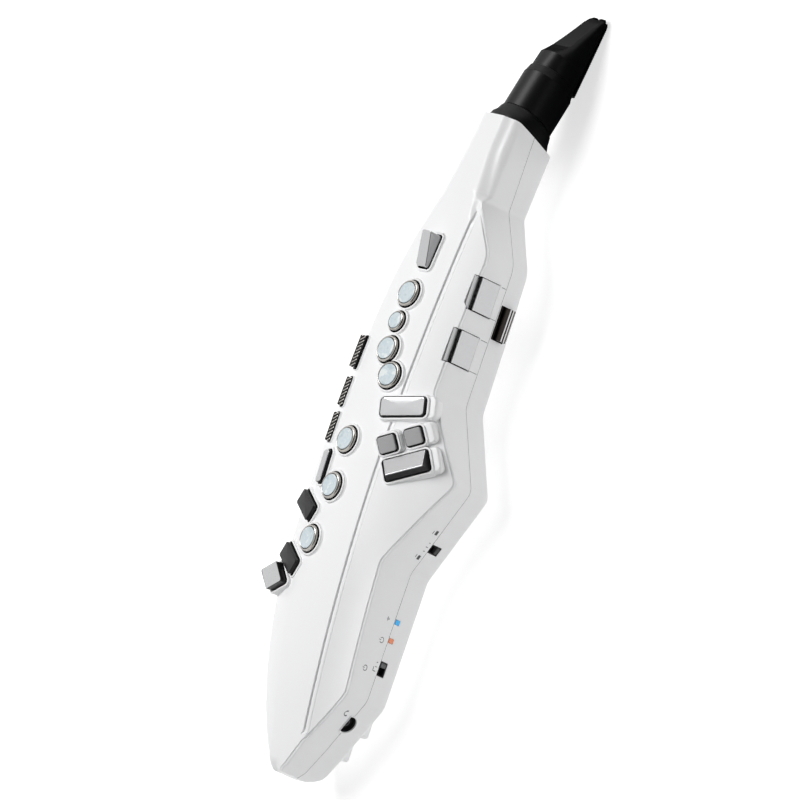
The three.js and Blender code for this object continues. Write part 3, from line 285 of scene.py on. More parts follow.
def leaning(length, width, skew, radius):
    """A rounded parallelogram whose sides lean by skew degrees."""
    shift = width / 2 * math.tan(math.radians(skew))
    x, y = length / 2, width / 2
    return rounded([(-x - shift, -y), (x - shift, -y), (x + shift, y), (-x + shift, y)], radius)


def moved(outline, x, y):
    return [(u + x, v + y) for u, v in outline]


def grown(outline, margin):
    """The outline with every side moved outwards by the margin."""
    result = []
    for index, point in enumerate(outline):
        before, after = outline[index - 1], outline[(index + 1) % len(outline)]
        first = Vector((point[1] - before[1], before[0] - point[0])).normalized()
        second = Vector((after[1] - point[1], point[0] - after[0])).normalized()
        normal = (first + second).normalized()
        reach = margin / max(normal.dot(first), 0.5)
        result.append((point[0] + normal.x * reach, point[1] + normal.y * reach))
    return result


def softened_stack(outline, low, high, radius, steps=4):
    """Levels of a plate whose upper edge is rounded."""
    levels = [(outline, low)]
    for angle in spread(0, math.pi / 2, steps + 1):
        levels.append((grown(outline, -radius * (1 - math.cos(angle))), high - radius * (1 - math.sin(angle))))
    return levels


def apply_modifiers(obj):
    graph = bpy.context.evaluated_depsgraph_get()
    mesh = bpy.data.meshes.new_from_object(obj.evaluated_get(graph))
    obj.modifiers.clear()
    obj.data = mesh


def combine(obj, tools, operation):
    for tool in tools:
        modifier = obj.modifiers.new("cut", "BOOLEAN")
        modifier.operation = operation
        modifier.solver = "MANIFOLD"
        modifier.object = tool
    bpy.context.view_layer.update()
    apply_modifiers(obj)
    for tool in tools:
        bpy.data.objects.remove(tool)


def finish(obj, body, material, replaces=(), slot=None, angle=40, bevel=0.0, segments=3, weighted=False):
    """Rounds edges, smooths the shading, gives the material and ties the piece to its body."""
    if bevel:
        modifier = obj.modifiers.new("edges", "BEVEL")
        modifier.width = bevel * MM
        modifier.segments = segments
        modifier.limit_method = "ANGLE"
        modifier.angle_limit = math.radians(35)
        modifier.harden_normals = False
        apply_modifiers(obj)
    mesh = obj.data
    mesh.polygons.foreach_set("use_smooth", [True] * len(mesh.polygons))
    mesh.set_sharp_from_angle(angle=math.radians(angle))
    if bevel or weighted:
        obj.modifiers.new("normals", "WEIGHTED_NORMAL").keep_sharp = True
        apply_modifiers(obj)
    obj.data.materials.clear()
    obj.data.materials.append(material)
    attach(obj, body)
    if replaces:
        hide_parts(*replaces)
    slot or SLOT_BY_MATERIAL[material.name]


def paint_faces(obj, material, inside, matrix=IDENTITY):
    """Gives a second material to the faces whose middle and normal, in the frame of the matrix, pass the test."""
    obj.data.materials.append(material)
    index = len(obj.data.materials) - 1
    inverse = matrix.inverted()
    turn = inverse.to_3x3()
    for face in obj.data.polygons:
        if inside(inverse @ ((face.center - SHIFT) / MM), turn @ face.normal):
            face.material_index = index


# Materials

def feed(tree, node, sockets):
    """Sets each socket of a node to a value, or links it where the value is another node's output."""
    for name, value in sockets.items():
        if isinstance(value, bpy.types.NodeSocket):
            tree.links.new(value, node.inputs[name])
        else:
            node.inputs[name].default_value = value
    return node


def add_node(tree, kind, sockets):
    return feed(tree, tree.nodes.new("ShaderNode" + kind), sockets)


def new_material(name, color, roughness, metallic=0.0, coat=0.0, coat_roughness=0.1, specular=0.5):
    material = bpy.data.materials.new(name)
    material.use_nodes = True
    tree = material.node_tree
    shader = feed(tree, tree.nodes["Principled BSDF"], {
        "Base Color": (*color, 1), "Roughness": roughness, "Metallic": metallic, "Coat Weight": coat,
        "Coat Roughness": coat_roughness, "Specular IOR Level": specular,
    })
    return material, tree, shader


def noise_node(tree, scale, detail=3.0):
    place = add_node(tree, "TexCoord", {})
    return add_node(tree, "TexNoise", {"Scale": scale, "Detail": detail, "Vector": place.outputs["Object"]})


def color_ramp(tree, shader, noise, stops):
    ramp = add_node(tree, "ValToRGB", {"Fac": noise.outputs["Fac"]})
    while len(ramp.color_ramp.elements) < len(stops):
        ramp.color_ramp.elements.new(0.5)
    for element, (place, color) in zip(ramp.color_ramp.elements, stops):
        element.position = place
        element.color = (*color, 1)
    feed(tree, shader, {"Base Color": ramp.outputs["Color"]})


def shades(color, variation):
    """The darkest and the lightest shade of a colour that varies."""
    return [tuple(clamp(c * share) for c in color) for share in (1 - variation, 1 + variation)]


def roughen(tree, shader, noise, low, high, strength, distance):
    """Lets a noise vary the roughness between two values and raise a fine grain."""
    rough = add_node(tree, "MapRange", {"To Min": low, "To Max": high, "Value": noise.outputs["Fac"]})
    bump = add_node(tree, "Bump", {"Strength": strength, "Distance": distance, "Height": noise.outputs["Fac"]})
    feed(tree, shader, {"Roughness": rough.outputs["Result"], "Normal": bump.outputs["Normal"]})


def plastic(name, color, roughness, variation=0.03, coat=0.0, grain=4000.0, strength=0.05, specular=0.5):
    material, tree, shader = new_material(name, color, roughness, 0.0, coat, 0.1, specular)
    color_ramp(tree, shader, noise_node(tree, 18.0), list(zip((0.3, 0.7), shades(color, variation))))
    roughen(tree, shader, noise_node(tree, grain, 2.0), roughness * 0.88, roughness * 1.12, strength, 0.00001)
    return material


def metal(name, color, roughness, variation=0.03):
    material, tree, shader = new_material(name, color, roughness, 1.0)
    fine = noise_node(tree, 4000.0)
    color_ramp(tree, shader, fine, list(zip((0.25, 0.75), shades(color, variation))))
    roughen(tree, shader, fine, roughness * 0.85, roughness * 1.2, 0.02, 0.000004)
    return material


def pearl_material():
    material, tree, shader = new_material("pearl_inlay", (0.72, 0.82, 0.86), 0.16, 0.0, 0.6, 0.06)
    cloud = noise_node(tree, 170.0)
    color_ramp(tree, shader, cloud, [
        (0.34, (0.47, 0.57, 0.61)), (0.45, (0.62, 0.69, 0.715)), (0.54, (0.53, 0.63, 0.68)),
        (0.64, (0.76, 0.80, 0.80)),
    ])
    roughen(tree, shader, cloud, 0.12, 0.24, 0.08, 0.00003)
    return material


WHITE = plastic("white_body", (0.86, 0.862, 0.868), 0.36, 0.01, 0.2, 5000.0, 0.03, 0.4)
RIBBED = plastic("ribbed_black", (0.006, 0.006, 0.006), 0.25, 0.1, 0.0, 4000.0, 0.02, 0.3)
BLACK_AND_SHADE = plastic("black_plastic", (0.008, 0.008, 0.0085), 0.32, 0.2, 0.0, 4000.0, 0.05, 0.22)
MOUTH = plastic("black_mouthpiece", (0.0025, 0.0025, 0.0028), 0.38, 0.1, 0.0, 5000.0, 0.02, 0.22)
REED = plastic("reed_black", (0.006, 0.006, 0.0065), 0.45, 0.2, 0.0, 3000.0, 0.1, 0.15)
RUBBER = plastic("soft_rubber", (0.02, 0.02, 0.021), 0.75, 0.2, 0.0, 3000.0, 0.2, 0.3)
GREY_KNOB = plastic("grey_knob", (0.13, 0.132, 0.135), 0.42, 0.12)
PRINT = plastic("grey_print", (0.08, 0.08, 0.082), 0.6, 0.08, 0.0, 4000.0, 0.02, 0.3)
# Near black, painted as shade inside the shells and on their seam faces; also the jack socket's colour
SHADE_AND_SOCKET_BLACK = plastic("shade_and_socket_black", (0.008, 0.008, 0.008), 0.8, 0.1, 0.0, 3000.0, 0.05, 0.1)
SILVER_AND_HIGHLIGHT = metal("bright_metal", (0.56, 0.563, 0.57), 0.22)
# Coined metal of the pearl rings; also painted on the side keys' rib crests as highlights
COIN_AND_GLINT = metal("coined_metal_and_glint", (0.5, 0.48, 0.45), 0.22)
DARK_AND_SHADE = metal("dark_metal", (0.36, 0.36, 0.365), 0.22)
SMOKED = metal("smoked_metal", (0.035, 0.03, 0.027), 0.2)
# A paler copy of the smoked metal, painted as light on the third palm key's outer face
LIT_SIDE_METAL = metal("lit_side_metal", (0.115, 0.108, 0.1), 0.24)
# A darker copy of the bright metal, painted as shade on the outer faces of two palm keys
SHADED_SIDE_METAL = metal("shaded_side_metal", (0.46, 0.462, 0.468), 0.26)
STEEL = metal("plated_steel", (0.6, 0.6, 0.62), 0.22)
PEARL = pearl_material()
BOARD = plastic("circuit_board", (0.02, 0.16, 0.07), 0.45, 0.2, 0.1)
GLASS = plastic("display_glass", (0.01, 0.011, 0.014), 0.08, 0.1, 0.5)
SLEEVE = plastic("cell_sleeve", (0.05, 0.09, 0.22), 0.35, 0.15, 0.2)
BLUE = plastic("blue_lens", (0.0, 0.42, 0.95), 0.18, 0.12, 0.4)
ORANGE = plastic("orange_lens", (0.95, 0.25, 0.09), 0.18, 0.12, 0.4)

# Each slot's material, followed by the others that count as the same slot
SLOT_MATERIALS = {
    "white_body": [WHITE], "black_mouthpiece": [MOUTH], "reed_black": [REED], "bright_metal": [SILVER_AND_HIGHLIGHT, COIN_AND_GLINT, SHADED_SIDE_METAL],
    "pearl_inlay": [PEARL], "dark_metal": [DARK_AND_SHADE, SMOKED, LIT_SIDE_METAL], "black_plastic": [BLACK_AND_SHADE, RIBBED, SHADE_AND_SOCKET_BLACK],
    "grey_knob": [GREY_KNOB], "blue_lens": [BLUE], "orange_lens": [ORANGE], "circuit_board": [BOARD],
    "display_glass": [GLASS], "plated_steel": [STEEL], "soft_rubber": [RUBBER, PRINT], "cell_sleeve": [SLEEVE],
}
SLOT_BY_MATERIAL = {material.name: slot for slot, group in SLOT_MATERIALS.items() for material in group}
slot_of = {row["node"]: row["material_slot"] for row in frame["record"]["subparts"]}
for node, obj in frame["nodes"].items():
    obj.data.materials.clear()
    obj.data.materials.append(SLOT_MATERIALS[slot_of[node]][0])


# Key frames and sizes

def seat(x, y, lift=0.0, turn=0.0, roll=None, pitch=None):
    """A frame on the front skin, square to it unless roll or pitch say otherwise."""
    slope_x = front_height(x + 0.5, y) - front_height(x - 0.5, y)
    slope_y = front_height(x, y + 0.5) - front_height(x, y - 0.5)
    tilt_x = -slope_x if roll is None else math.tan(math.radians(roll))
    tilt_y = -slope_y if pitch is None else math.tan(math.radians(pitch))
    normal = Vector((tilt_x, tilt_y, 1)).normalized()
    across = Vector((0, 1, 0)).cross(normal).normalized()
    matrix = Matrix((across, normal.cross(across), normal)).transposed().to_4x4()
    matrix.translation = Vector((x, y, front_height(x, y)))
    return matrix @ Matrix.Translation((0, 0, lift)) @ Matrix.Rotation(math.radians(turn), 4, "Z")


PEARL_RADIUS, SMALL_RADIUS, INLAY_SHARE = 9.7, 7.3, 0.8
# Place and radius
PEARL_KEYS = {
    "b": (-9.02, 54.61, PEARL_RADIUS), "bis": (-9.68, 33.69, SMALL_RADIUS), "a": (-8.03, 13.01, PEARL_RADIUS),
    "g": (2.48, -4.82, PEARL_RADIUS), "f": (-16.22, -55.19, PEARL_RADIUS), "e": (-16, -88.98, PEARL_RADIUS),
    "d": (-22.6, -128.02, PEARL_RADIUS),
}
# Place, outline, rise, material, edge radius and how far the step beside the key reaches to its right
FLAT_KEYS = {
    "g_sharp_key": (
        dict(x=23.21, y=-24.1, lift=2.4, turn=14.8, roll=14, pitch=1.4), rectangle(34, 13.4, 2.55), 4,
        SILVER_AND_HIGHLIGHT, 0.9, 5.5,
    ),
    "low_c_sharp_key": (
        dict(x=21.4, y=-51, lift=2.4, turn=29, roll=18, pitch=-15), rectangle(13.6, 11.6, 1.97), 3.7,
        DARK_AND_SHADE, 0.8, 2,
    ),
    "low_b_key": (
        dict(x=36.52, y=-40.58, lift=2.4, turn=29, roll=18, pitch=-15), rectangle(13.6, 11.6, 1.97), 3.7,
        DARK_AND_SHADE, 0.8, 6,
    ),
    "f_sharp_key": (dict(x=-31.79, y=-76.49, turn=2), rectangle(8.4, 24, 3.02), 4.2, SILVER_AND_HIGHLIGHT, 1.0, 0),
    "e_flat_key": (
        dict(x=-37.4, y=-105.32, turn=-29, roll=-22, pitch=-3), leaning(25, 12.3, 2, 1.6), 4.8, BLACK_AND_SHADE, 0.8, 0),
    "low_c_sharp_touch": (
        dict(x=-40.2, y=-143.78, turn=-31, roll=-22, pitch=-5), leaning(25, 12.3, 3, 1.6), 4.8, BLACK_AND_SHADE, 0.8, 0),
    "low_c_key": (
        dict(x=-49.5, y=-157.61, lift=3.6, turn=22.6, roll=-20, pitch=-6), leaning(20, 17.3, -24.4, 1.38), 6.6,
        SILVER_AND_HIGHLIGHT, 0.8, 0,
    ),
}
# Place, width, length and rise
SIDE_KEYS = {
    "side_key_1": (dict(x=-38.61, y=7.71, roll=-26), 5.2, 23.6, 5.6),
    "side_key_2": (dict(x=-38.88, y=-21.59, roll=-26), 4.6, 20.8, 4.2),
    "side_key_3": (dict(x=-38.88, y=-47.72, roll=-26), 4.6, 20.8, 4.2),
}
# Place, width, length, low and high end of the top, draft and reach of the step to the left
X_KEY = (dict(x=-5.99, y=87.19), 11, 24.6, 4.4, 12, 0.16, 0)
RIDGE_KEY = (dict(x=37.62, y=-62.42, lift=1.6, turn=209.5, roll=18, pitch=0), 33.6, 15, 3, 9.2, 0.3, -5.5)
PALM_KEYS = {"palm_key_1": 67.58, "palm_key_2": 28.0}
PALM_X, PALM_LENGTH = 38.6, 23.6
BAR_KEY_Y = 55.6


# Front shell skin

def front_section(y):
    """Closed (x, z) outline of the front skin at y: up the left side, across the front and down the right side."""
    xl, xr, low = left_edge(y), right_edge(y), SEAM_GAP / 2
    radius_left = min(blend(y, [95, 132], [8, 12]), (xr - xl) / 3)
    radius_right = min(blend(y, [130, 137], [1.6, 12]), (xr - xl) / 3)
    if y < -276:
        radius_left = min(radius_left, 1.5 + (y - BELL_END) * 0.5)

    def corner(edge, radius, side):
        touch = edge - side * radius
        slope = (front_height(touch + 0.2, y) - front_height(touch - 0.2, y)) / 0.4
        centre = front_height(touch, y) - radius * math.hypot(1, slope)
        arc = arc_points(radius, math.atan2(1, -side * slope), 0, 24)
        return [(touch + side * u, centre + v) for u, v in arc]

    left_arc, right_arc = corner(xl, radius_left, -1)[::-1], corner(xr, radius_right, 1)
    x0, x1 = left_arc[-1][0], right_arc[0][0]
    last = x1 - GROOVE_HALF - 1.4
    groove, line = min(GROOVE_X, last), x1 - 0.55
    depth = GROOVE_DEPTH * blend(y, [118, 130], [1, 0]) * clamp((last - GROOVE_X) / 0.9 + 1)
    dip = FOLD_DIP * blend(y, [-287.6, -284, 112, 122], [0, 1, 1, 0])
    across = [(x, 0) for x in spread(x0, groove - GROOVE_HALF, 46)[1:]]
    across += [(groove + place * GROOVE_HALF, share * depth) for place, share in GROOVE_PROFILE]
    across += [(x, 0) for x in spread(groove + GROOVE_HALF, line - 0.75, 26)[1:]]
    across += [(line + place, share * dip) for place, share in FOLD_PROFILE]
    points = [(xl, z) for z in spread(low, left_arc[0][1], 7)[:-1]] + left_arc
    points += [(x, front_height(x, y) - drop) for x, drop in across]
    points += right_arc + [(xr, z) for z in spread(right_arc[-1][1], low, 7)[1:]]

    left_fade, right_fade = end_fade(y, 9, 0.55), end_fade(y, 1.5, 0.2)
    section = []
    for x, z in points:
        share = clamp(0.5 - x / 8)
        fade = share * left_fade + (1 - share) * right_fade
        section.append((x, low + (neck_valley(x, y, z) - low) * fade))
    return section


def end_fade(y, length, share):
    """Share of the height that is left where the bell end rounds off."""
    return math.sqrt(1 - share * clamp((BELL_END + length - y) / length) ** 2)


def neck_valley(x, y, z):
    """The groove runs out on the neck as a soft wide valley."""
    if y < 112 or z < 12:
        return z
    centre = blend(y, [112, 133, 167, 194], [18, 15.2, 11.6, 12.6])
    reach = blend(y, [112, 124], [2.3, 4.2])
    return z - 1.9 * blend(y, [112, 122], [0, 1]) * max(0, 1 - ((x - centre) / reach) ** 2) ** 2


STATIONS = [float(y) for y in np.concatenate([
    np.arange(NECK_TOP + 6, 140, -4.0), np.arange(140, 86, -1.0), np.arange(86, -276, -2.0),
    np.arange(-276, BELL_END, -0.8), [BELL_END + 0.05],
])]


def smooth_line(points, steps=8):
    """A smooth curve through the points of an open line."""
    result = []
    for i in range(len(points) - 1):
        p0, p1, p2, p3 = [Vector(points[min(max(i + k, 0), len(points) - 1)]) for k in (-1, 0, 1, 2)]
        for step in range(steps):
            t = step / steps
            result.append(tuple(0.5 * ((2 * p1) + (p2 - p0) * t + (2 * p0 - 5 * p1 + 4 * p2 - p3) * t * t
                                       + (3 * p1 - p0 - 3 * p2 + p3) * t ** 3)))
    result.append(tuple(points[-1]))
    return result


def rim_side(far, shift=0.0):
    """A block that ends at the rim of the neck and reaches to y = far."""
    line = moved(smooth_line(RIM_LINE), shift, 0)
    return prism_x("rim", line + [(far, line[-1][1]), (far, line[0][1])], -60, 60)


def pad_tool(outline, margin, lift, matrix):
    """A raised pad around a key; the skin that it flares into is lift below the key's frame."""
    foot = grown(outline, margin)
    levels = [(1.1, -PAD_ROOT - lift), (1.1, -lift - 0.9), (0.5, -lift - 0.25), (0.15, -lift + 0.4)]
    levels = [(grown(foot, flare), height) for flare, height in levels]
    return stack("pad", levels + softened_stack(foot, max(0.6, -lift + 0.6), PAD_RISE, 0.5), matrix)


def step_tool(outline, reach, lift, matrix):
    """A lower terrace that continues a pad to the right of its key, or to the left for a negative reach."""
    foot = grown([(x + reach if x * reach > 0 else x, y) for x, y in outline], 1.2)
    top = PAD_RISE - STEP_DROP
    levels = [(grown(foot, 1.0), -PAD_ROOT - lift - 3), (grown(foot, 0.8), top - 2.2), (grown(foot, 0.2), top - 1.2)]
    return stack("step", levels + softened_stack(foot, top - 1.0, top, 0.8), matrix)


def well_tool(outline, matrix):
    well = grown(outline, WELL_GAP)
    levels = [(0.12, PAD_RISE - 0.1), (0.35, PAD_RISE + 0.1), (0.4, 30)]
    levels = [(grown(well, flare), height) for flare, height in levels]
    return stack("well", [(well, -WELL_DEPTH), (well, PAD_RISE - 0.3)] + levels, matrix)


def palm_block(name, y, margin=0.0):
    """A palm key that wraps the right edge, or its well where a margin is given."""
    outer, inner, radius = 40.0 + margin, 34.6 - margin, 5.6
    edge = front_height(PALM_X, y)
    top, bottom = edge + 1.4 + margin, edge - 21.8 - 2 * margin
    depth = 34.8 - (2 if margin else 0)
    profile = [(depth, bottom), (outer - 0.5, bottom), (outer - 0.15, bottom + 0.15), (outer, bottom + 0.5)]
    profile += moved(arc_points(radius, 0, math.radians(68), 16), outer - radius, top - radius)
    x, z = profile[-1]
    for share in (0.25, 0.5, 0.75, 0.9):
        profile.append((x + (inner - x) * share, z + (x - inner) * share * 0.4))
    edge_z = z + (x - inner) * 0.4
    profile += [(inner + 0.12, edge_z - 0.1), (inner, edge_z - 0.4), (inner, top - 4), (depth, top - 7)]
    half = PALM_LENGTH / 2 + margin
    return prism_y(name, profile, y - half, y + half)


# Openings in the right wall, each with its frame's Z straight out of the wall

def wall_frame(y, height):
    slope = (right_edge(y + 1) - right_edge(y - 1)) / 2
    outward = Vector((1, -slope, 0)).normalized()
    upward = Vector((0, 0, 1))
    matrix = Matrix((upward.cross(outward), upward, outward)).transposed().to_4x4()
    matrix.translation = Vector((right_edge(y), y, height))
    return matrix


TONE_FRAME, POWER_FRAME = wall_frame(-109.6, -5.3), wall_frame(-199.2, -4.0)
BLUE_FRAME, ORANGE_FRAME = wall_frame(-165.0, -3.2), wall_frame(-178.5, -3.2)
JACK_FRAME = wall_frame(-242.9, 0)
TONE_SIZE, POWER_SIZE, LAMP_SIZE = (7, 10), (10.6, 7.4), (3.6, 5)


def jack_outline(radius):
    """A circle with one flat side, on the side of the keys."""
    start = math.asin(0.42)
    return arc_points(radius, math.pi - start, 2 * math.pi + start, 48)


def wall_holes():
    holes = []
    for matrix, size, depth, radius in [
        (TONE_FRAME, TONE_SIZE, 4.0, 0.5), (POWER_FRAME, POWER_SIZE, 4.0, 0.5),
        (BLUE_FRAME, LAMP_SIZE, 3.0, 0.4), (ORANGE_FRAME, LAMP_SIZE, 3.0, 0.4),
    ]:
        outline = rectangle(*size, radius)
        levels = [(outline, -depth), (outline, -0.25), (grown(outline, 0.25), 0.0), (grown(outline, 0.3), 3)]
        holes.append(stack("hole", levels, matrix))
    rim = jack_outline(6.3)
    levels = [(rim, -5.0), (rim, -0.4), (grown(rim, 0.35), 0.1), (grown(rim, 0.4), 3)]
    return holes + [stack("hole", levels, JACK_FRAME)]


def key_wells():
    """Outline, frame, pad margin, lift and reach of the step for every key in a well."""
    wide = WELL_GAP + PAD_BAND
    for x, y, radius in PEARL_KEYS.values():
        yield circle(radius, 80), seat(x, y), wide, 0, 0
    for place, outline, rise, material, edge, reach in FLAT_KEYS.values():
        yield outline, seat(**place), wide, place.get("lift", 0), reach
    for place, width, length, rise in SIDE_KEYS.values():
        yield rectangle(width, length, 0.9), seat(**place), 1.2, 0, 0
    for place, width, length, low, high, draft, reach in (X_KEY, RIDGE_KEY):
        yield rectangle(width, length, 1.9), seat(**place), wide, place.get("lift", 0), reach


def front_shell():
    shell = loft("front_skin", [[(x, y, z) for x, z in front_section(y)] for y in STATIONS])
    pads, cuts = [], []
    for outline, matrix, margin, lift, reach in key_wells():
        pads.append(pad_tool(outline, margin, lift, matrix))
        if reach:
            pads.append(step_tool(outline, reach, lift, matrix))
        cuts.append(well_tool(outline, matrix))
    combine(shell, pads, "UNION")
    cuts += [palm_block("well", y, 0.7) for y in PALM_KEYS.values()]
    combine(shell, cuts + [rim_side(NECK_TOP + 48)] + wall_holes(), "DIFFERENCE")
    return shell


def is_painted_shade(place, normal, up):
    """True on the inside of a shell and on its seam face, the faces painted near black as shade; up is 1 for the
    front shell and -1 for the rear one.
    """
    x, y, z = place
    if z * up < 0.3 and abs(normal.z) > 0.9:
        return True
    left, right = left_edge(y), right_edge(y)
    rounds_off = (x < left + 7 and normal.x < -0.15) or (x > right - 7 and normal.x > 0.15)
    if up > 0:
        below = 2.2 if abs(x - GROOVE_X) < GROOVE_HALF + 0.5 else 1.1
        is_deep = y <= 110 and z < front_height(x, y) - below
    else:
        is_deep = y < 122 and z > rear_height(y) + 1.0
    is_outer_edge = rounds_off and normal.z * up >= 0.15
    return is_deep and y >= -262 and left + 0.7 < x < right - 0.7 and not is_outer_edge


front = front_shell()
finish(front, "body", WHITE, ["front_shell"], angle=32)
# The inside of the front shell and its seam face are painted near black as shade
paint_faces(front, SHADE_AND_SOCKET_BLACK, lambda place, normal: is_painted_shade(place, normal, 1))


# Keys

def pearl_key(key, x, y, radius):
    """A coined ring with its dark core and its pearl disc."""
    matrix = seat(x, y)
    body, top, floor = f"key_{key}", 4.2, 3.05
    disc = radius * INLAY_SHARE
    inner = disc + 0.12
    profile = [
        (inner, 1.9), (radius - 0.45, 1.9), (radius - 0.15, 2.0), (radius, 2.15), (radius, 2.5), (radius, 2.9),
        (radius, 3.2), (radius - 0.12, 3.4), (radius - 0.22, 3.55), (radius - 0.42, 3.85), (radius - 0.7, 4.08),
        (radius - 0.95, top), (inner + 0.55, top - 0.1), (inner + 0.3, top - 0.4), (inner + 0.22, top - 0.8),
        (inner, 3.2), (inner, floor), (0.01, floor), (0.01, 1.9),
    ]
    segments, teeth = (360, 60) if radius > 8 else (288, 48)
    ring = revolve(f"pearl_ring_{key}", profile, matrix, segments, teeth, 0.26, (2.1, 3.3))
    finish(ring, body, COIN_AND_GLINT, [f"pearl_key_{key}"], angle=60)
    # The ring's inner wall beside the disc is painted black as shade in the gap
    paint_faces(ring, BLACK_AND_SHADE, lambda place, normal: place.xy.length < inner + 0.32, matrix)
    profile = [(0.01, -4.5), (radius - 0.5, -4.5), (radius - 0.5, 1.85), (0.01, 1.85)]
    finish(revolve(f"pearl_core_{key}", profile, matrix, 72), body, BLACK_AND_SHADE, angle=60)
    profile = [
        (0.01, 3.2), (disc - 0.1, 3.2), (disc, 3.4), (disc, 4.1), (disc - 0.08, 4.3), (disc - 0.3, 4.44),
        (disc - 0.65, 4.46), (disc - 1.0, 4.38), (disc * 0.78, 4.2), (disc * 0.5, 4.08), (disc * 0.25, 4.03),
        (0.01, 4.02),
    ]
    finish(revolve(f"pearl_disc_{key}", profile, matrix), body, PEARL, [f"pearl_{key}"], angle=60)


def darken_skirt(obj, matrix, depth):
    """The skirt under a plated cap, and its steep sides, are black."""
    paint_faces(obj, BLACK_AND_SHADE, lambda place, normal: place.z < depth and normal.z < 0.75, matrix)


def flat_key(key, place, outline, rise, material, edge, reach):
    """A slightly crowned cap; a plated one has a black skirt, and a black band painted as shade on its lower and
    right edges.
    """
    matrix = seat(**place)
    skirt = rise - edge - 0.35
    levels = [(outline, KEY_ROOT), (outline, skirt - 0.05), (outline, skirt)]
    levels += softened_stack(outline, skirt + 0.05, rise, edge, 6)[1:]
    rings = [[(x, y, height) for x, y in ring] for ring, height in levels]
    half = max(abs(x) for x, y in outline)
    crown = 0.5 * half / 17
    for ring in rings[-3:]:
        ring[:] = [(x, y, z - crown * (x / half) ** 2) for x, y, z in ring]
    inner = [(x, y) for x, y, z in rings[-1]]
    for share in (0.85, 0.65, 0.45, 0.25, 0.08):
        rings.append([(x * share, y * share, rise - crown * (x * share / half) ** 2) for x, y in inner])
    cap = loft(key + "_cap", rings, matrix)
    finish(cap, key, material, [key], angle=50, weighted=True)
    if material is not BLACK_AND_SHADE:
        darken_skirt(cap, matrix, skirt)
        # The lower and right edges of a plated cap are painted black as shade
        paint_faces(
            cap, BLACK_AND_SHADE, lambda place, normal: place.z < rise - 0.12 and max(normal.x, -normal.y) > 0.42, matrix,
        )


def key_rib(share, v):
    """Height of the ribs: one long bead near the left edge and slanting teeth beside it."""
    if share < -0.12:
        return 1.0 if -0.42 < share < -0.22 else 0.1
    return 0.5 + 0.5 * math.cos(2 * math.pi * (v - share * 6) / 2.8)


def side_key(name, place, width, length, rise):
    """A black key whose top slopes down to the right, with bright crests painted on its ribs as highlights."""
    matrix = seat(**place)
    rings = []
    for v in spread(-length / 2, length / 2, int(length * 5) + 1):
        ring = [(-width / 2, v, KEY_ROOT)]
        for u in spread(-width / 2, width / 2, 13):
            fall = min(1, (width / 2 - abs(u)) / 0.7, (length / 2 - abs(v)) / 0.7)
            slope = 2.3 * clamp((u / width + 0.12) / 0.62)
            ring.append((u, v, rise - slope - 0.55 * (1 - key_rib(u / width, v)) * fall - 0.5 * (1 - fall) ** 2))
        rings.append(ring + [(width / 2, v, KEY_ROOT)])
    key = loft(name + "_cap", rings, matrix)
    finish(key, name, RIBBED, [name], angle=50)

    def is_glint_crest(place, normal):
        is_top = place.z > rise - 2.6 and abs(place.y) < length / 2 - 0.01
        return is_top and place.x < width * 0.42 and key_rib(place.x / width, place.y) > 0.84

    # The rib crests are painted bright metal as highlights
    paint_faces(key, COIN_AND_GLINT, is_glint_crest, matrix)


def wedge_key(place, width, length, low, high, draft, reach):
    """The wedge shaped X key, whose top rises towards the neck."""
    matrix = seat(**place)
    base = rectangle(width, length, 1.9)
    rings = [[(x, y, height) for x, y in base] for height in (KEY_ROOT, 1.6)]
    top = []
    for x, y in base:
        height = low + (high - low) * (y / length + 0.5)
        top.append((x * (1 - draft * height / width), y * (1 - draft * height / (3 * length)), height))
    key = loft("x_key_cap", rings + [top], matrix)
    finish(key, "x_key", SILVER_AND_HIGHLIGHT, ["x_key"], bevel=0.55, segments=4)
    # The right face is painted a darker metal as shade
    paint_faces(key, DARK_AND_SHADE, lambda place, normal: normal.x > 0.6, matrix)
    darken_skirt(key, matrix, 2.6)


def ridge_key(place, width, length, low, high, draft, reach):
    """The B flat key, whose top climbs to a ridge near its lower side and drops steeply from there."""
    matrix = seat(**place)
    profile = [
        (-length / 2, KEY_ROOT), (length / 2, KEY_ROOT), (length / 2, high * 0.5), (length * 0.37, high - 0.15),
        (length * 0.33, high), (-length / 2, low),
    ]
    rings = [[(side * (width / 2 - draft * max(z, 0)), y, z) for y, z in profile] for side in (-1, 1)]
    key = loft("low_b_flat_key_cap", rings, matrix)
    finish(key, "low_b_flat_key", DARK_AND_SHADE, ["low_b_flat_key"], angle=20, bevel=0.5, segments=4)
    # The steep lower face and one end are painted black as shade
    paint_faces(key, BLACK_AND_SHADE, lambda place, normal: normal.y > 0.62 or normal.x < -0.75, matrix)
    # A strip along the ridge is painted bright metal as a highlight
    paint_faces(key, SILVER_AND_HIGHLIGHT, lambda place, normal: -0.2 < normal.y < 0.62 and abs(normal.x) < 0.4, matrix)
    darken_skirt(key, matrix, low - 0.6)


def palm_key(name, y):
    key = palm_block(name + "_cap", y)
    finish(key, name, SILVER_AND_HIGHLIGHT, [name], angle=30, bevel=0.3)
    # The outer face is painted a darker metal as shade
    paint_faces(key, SHADED_SIDE_METAL, lambda place, normal: normal.x > 0.97)


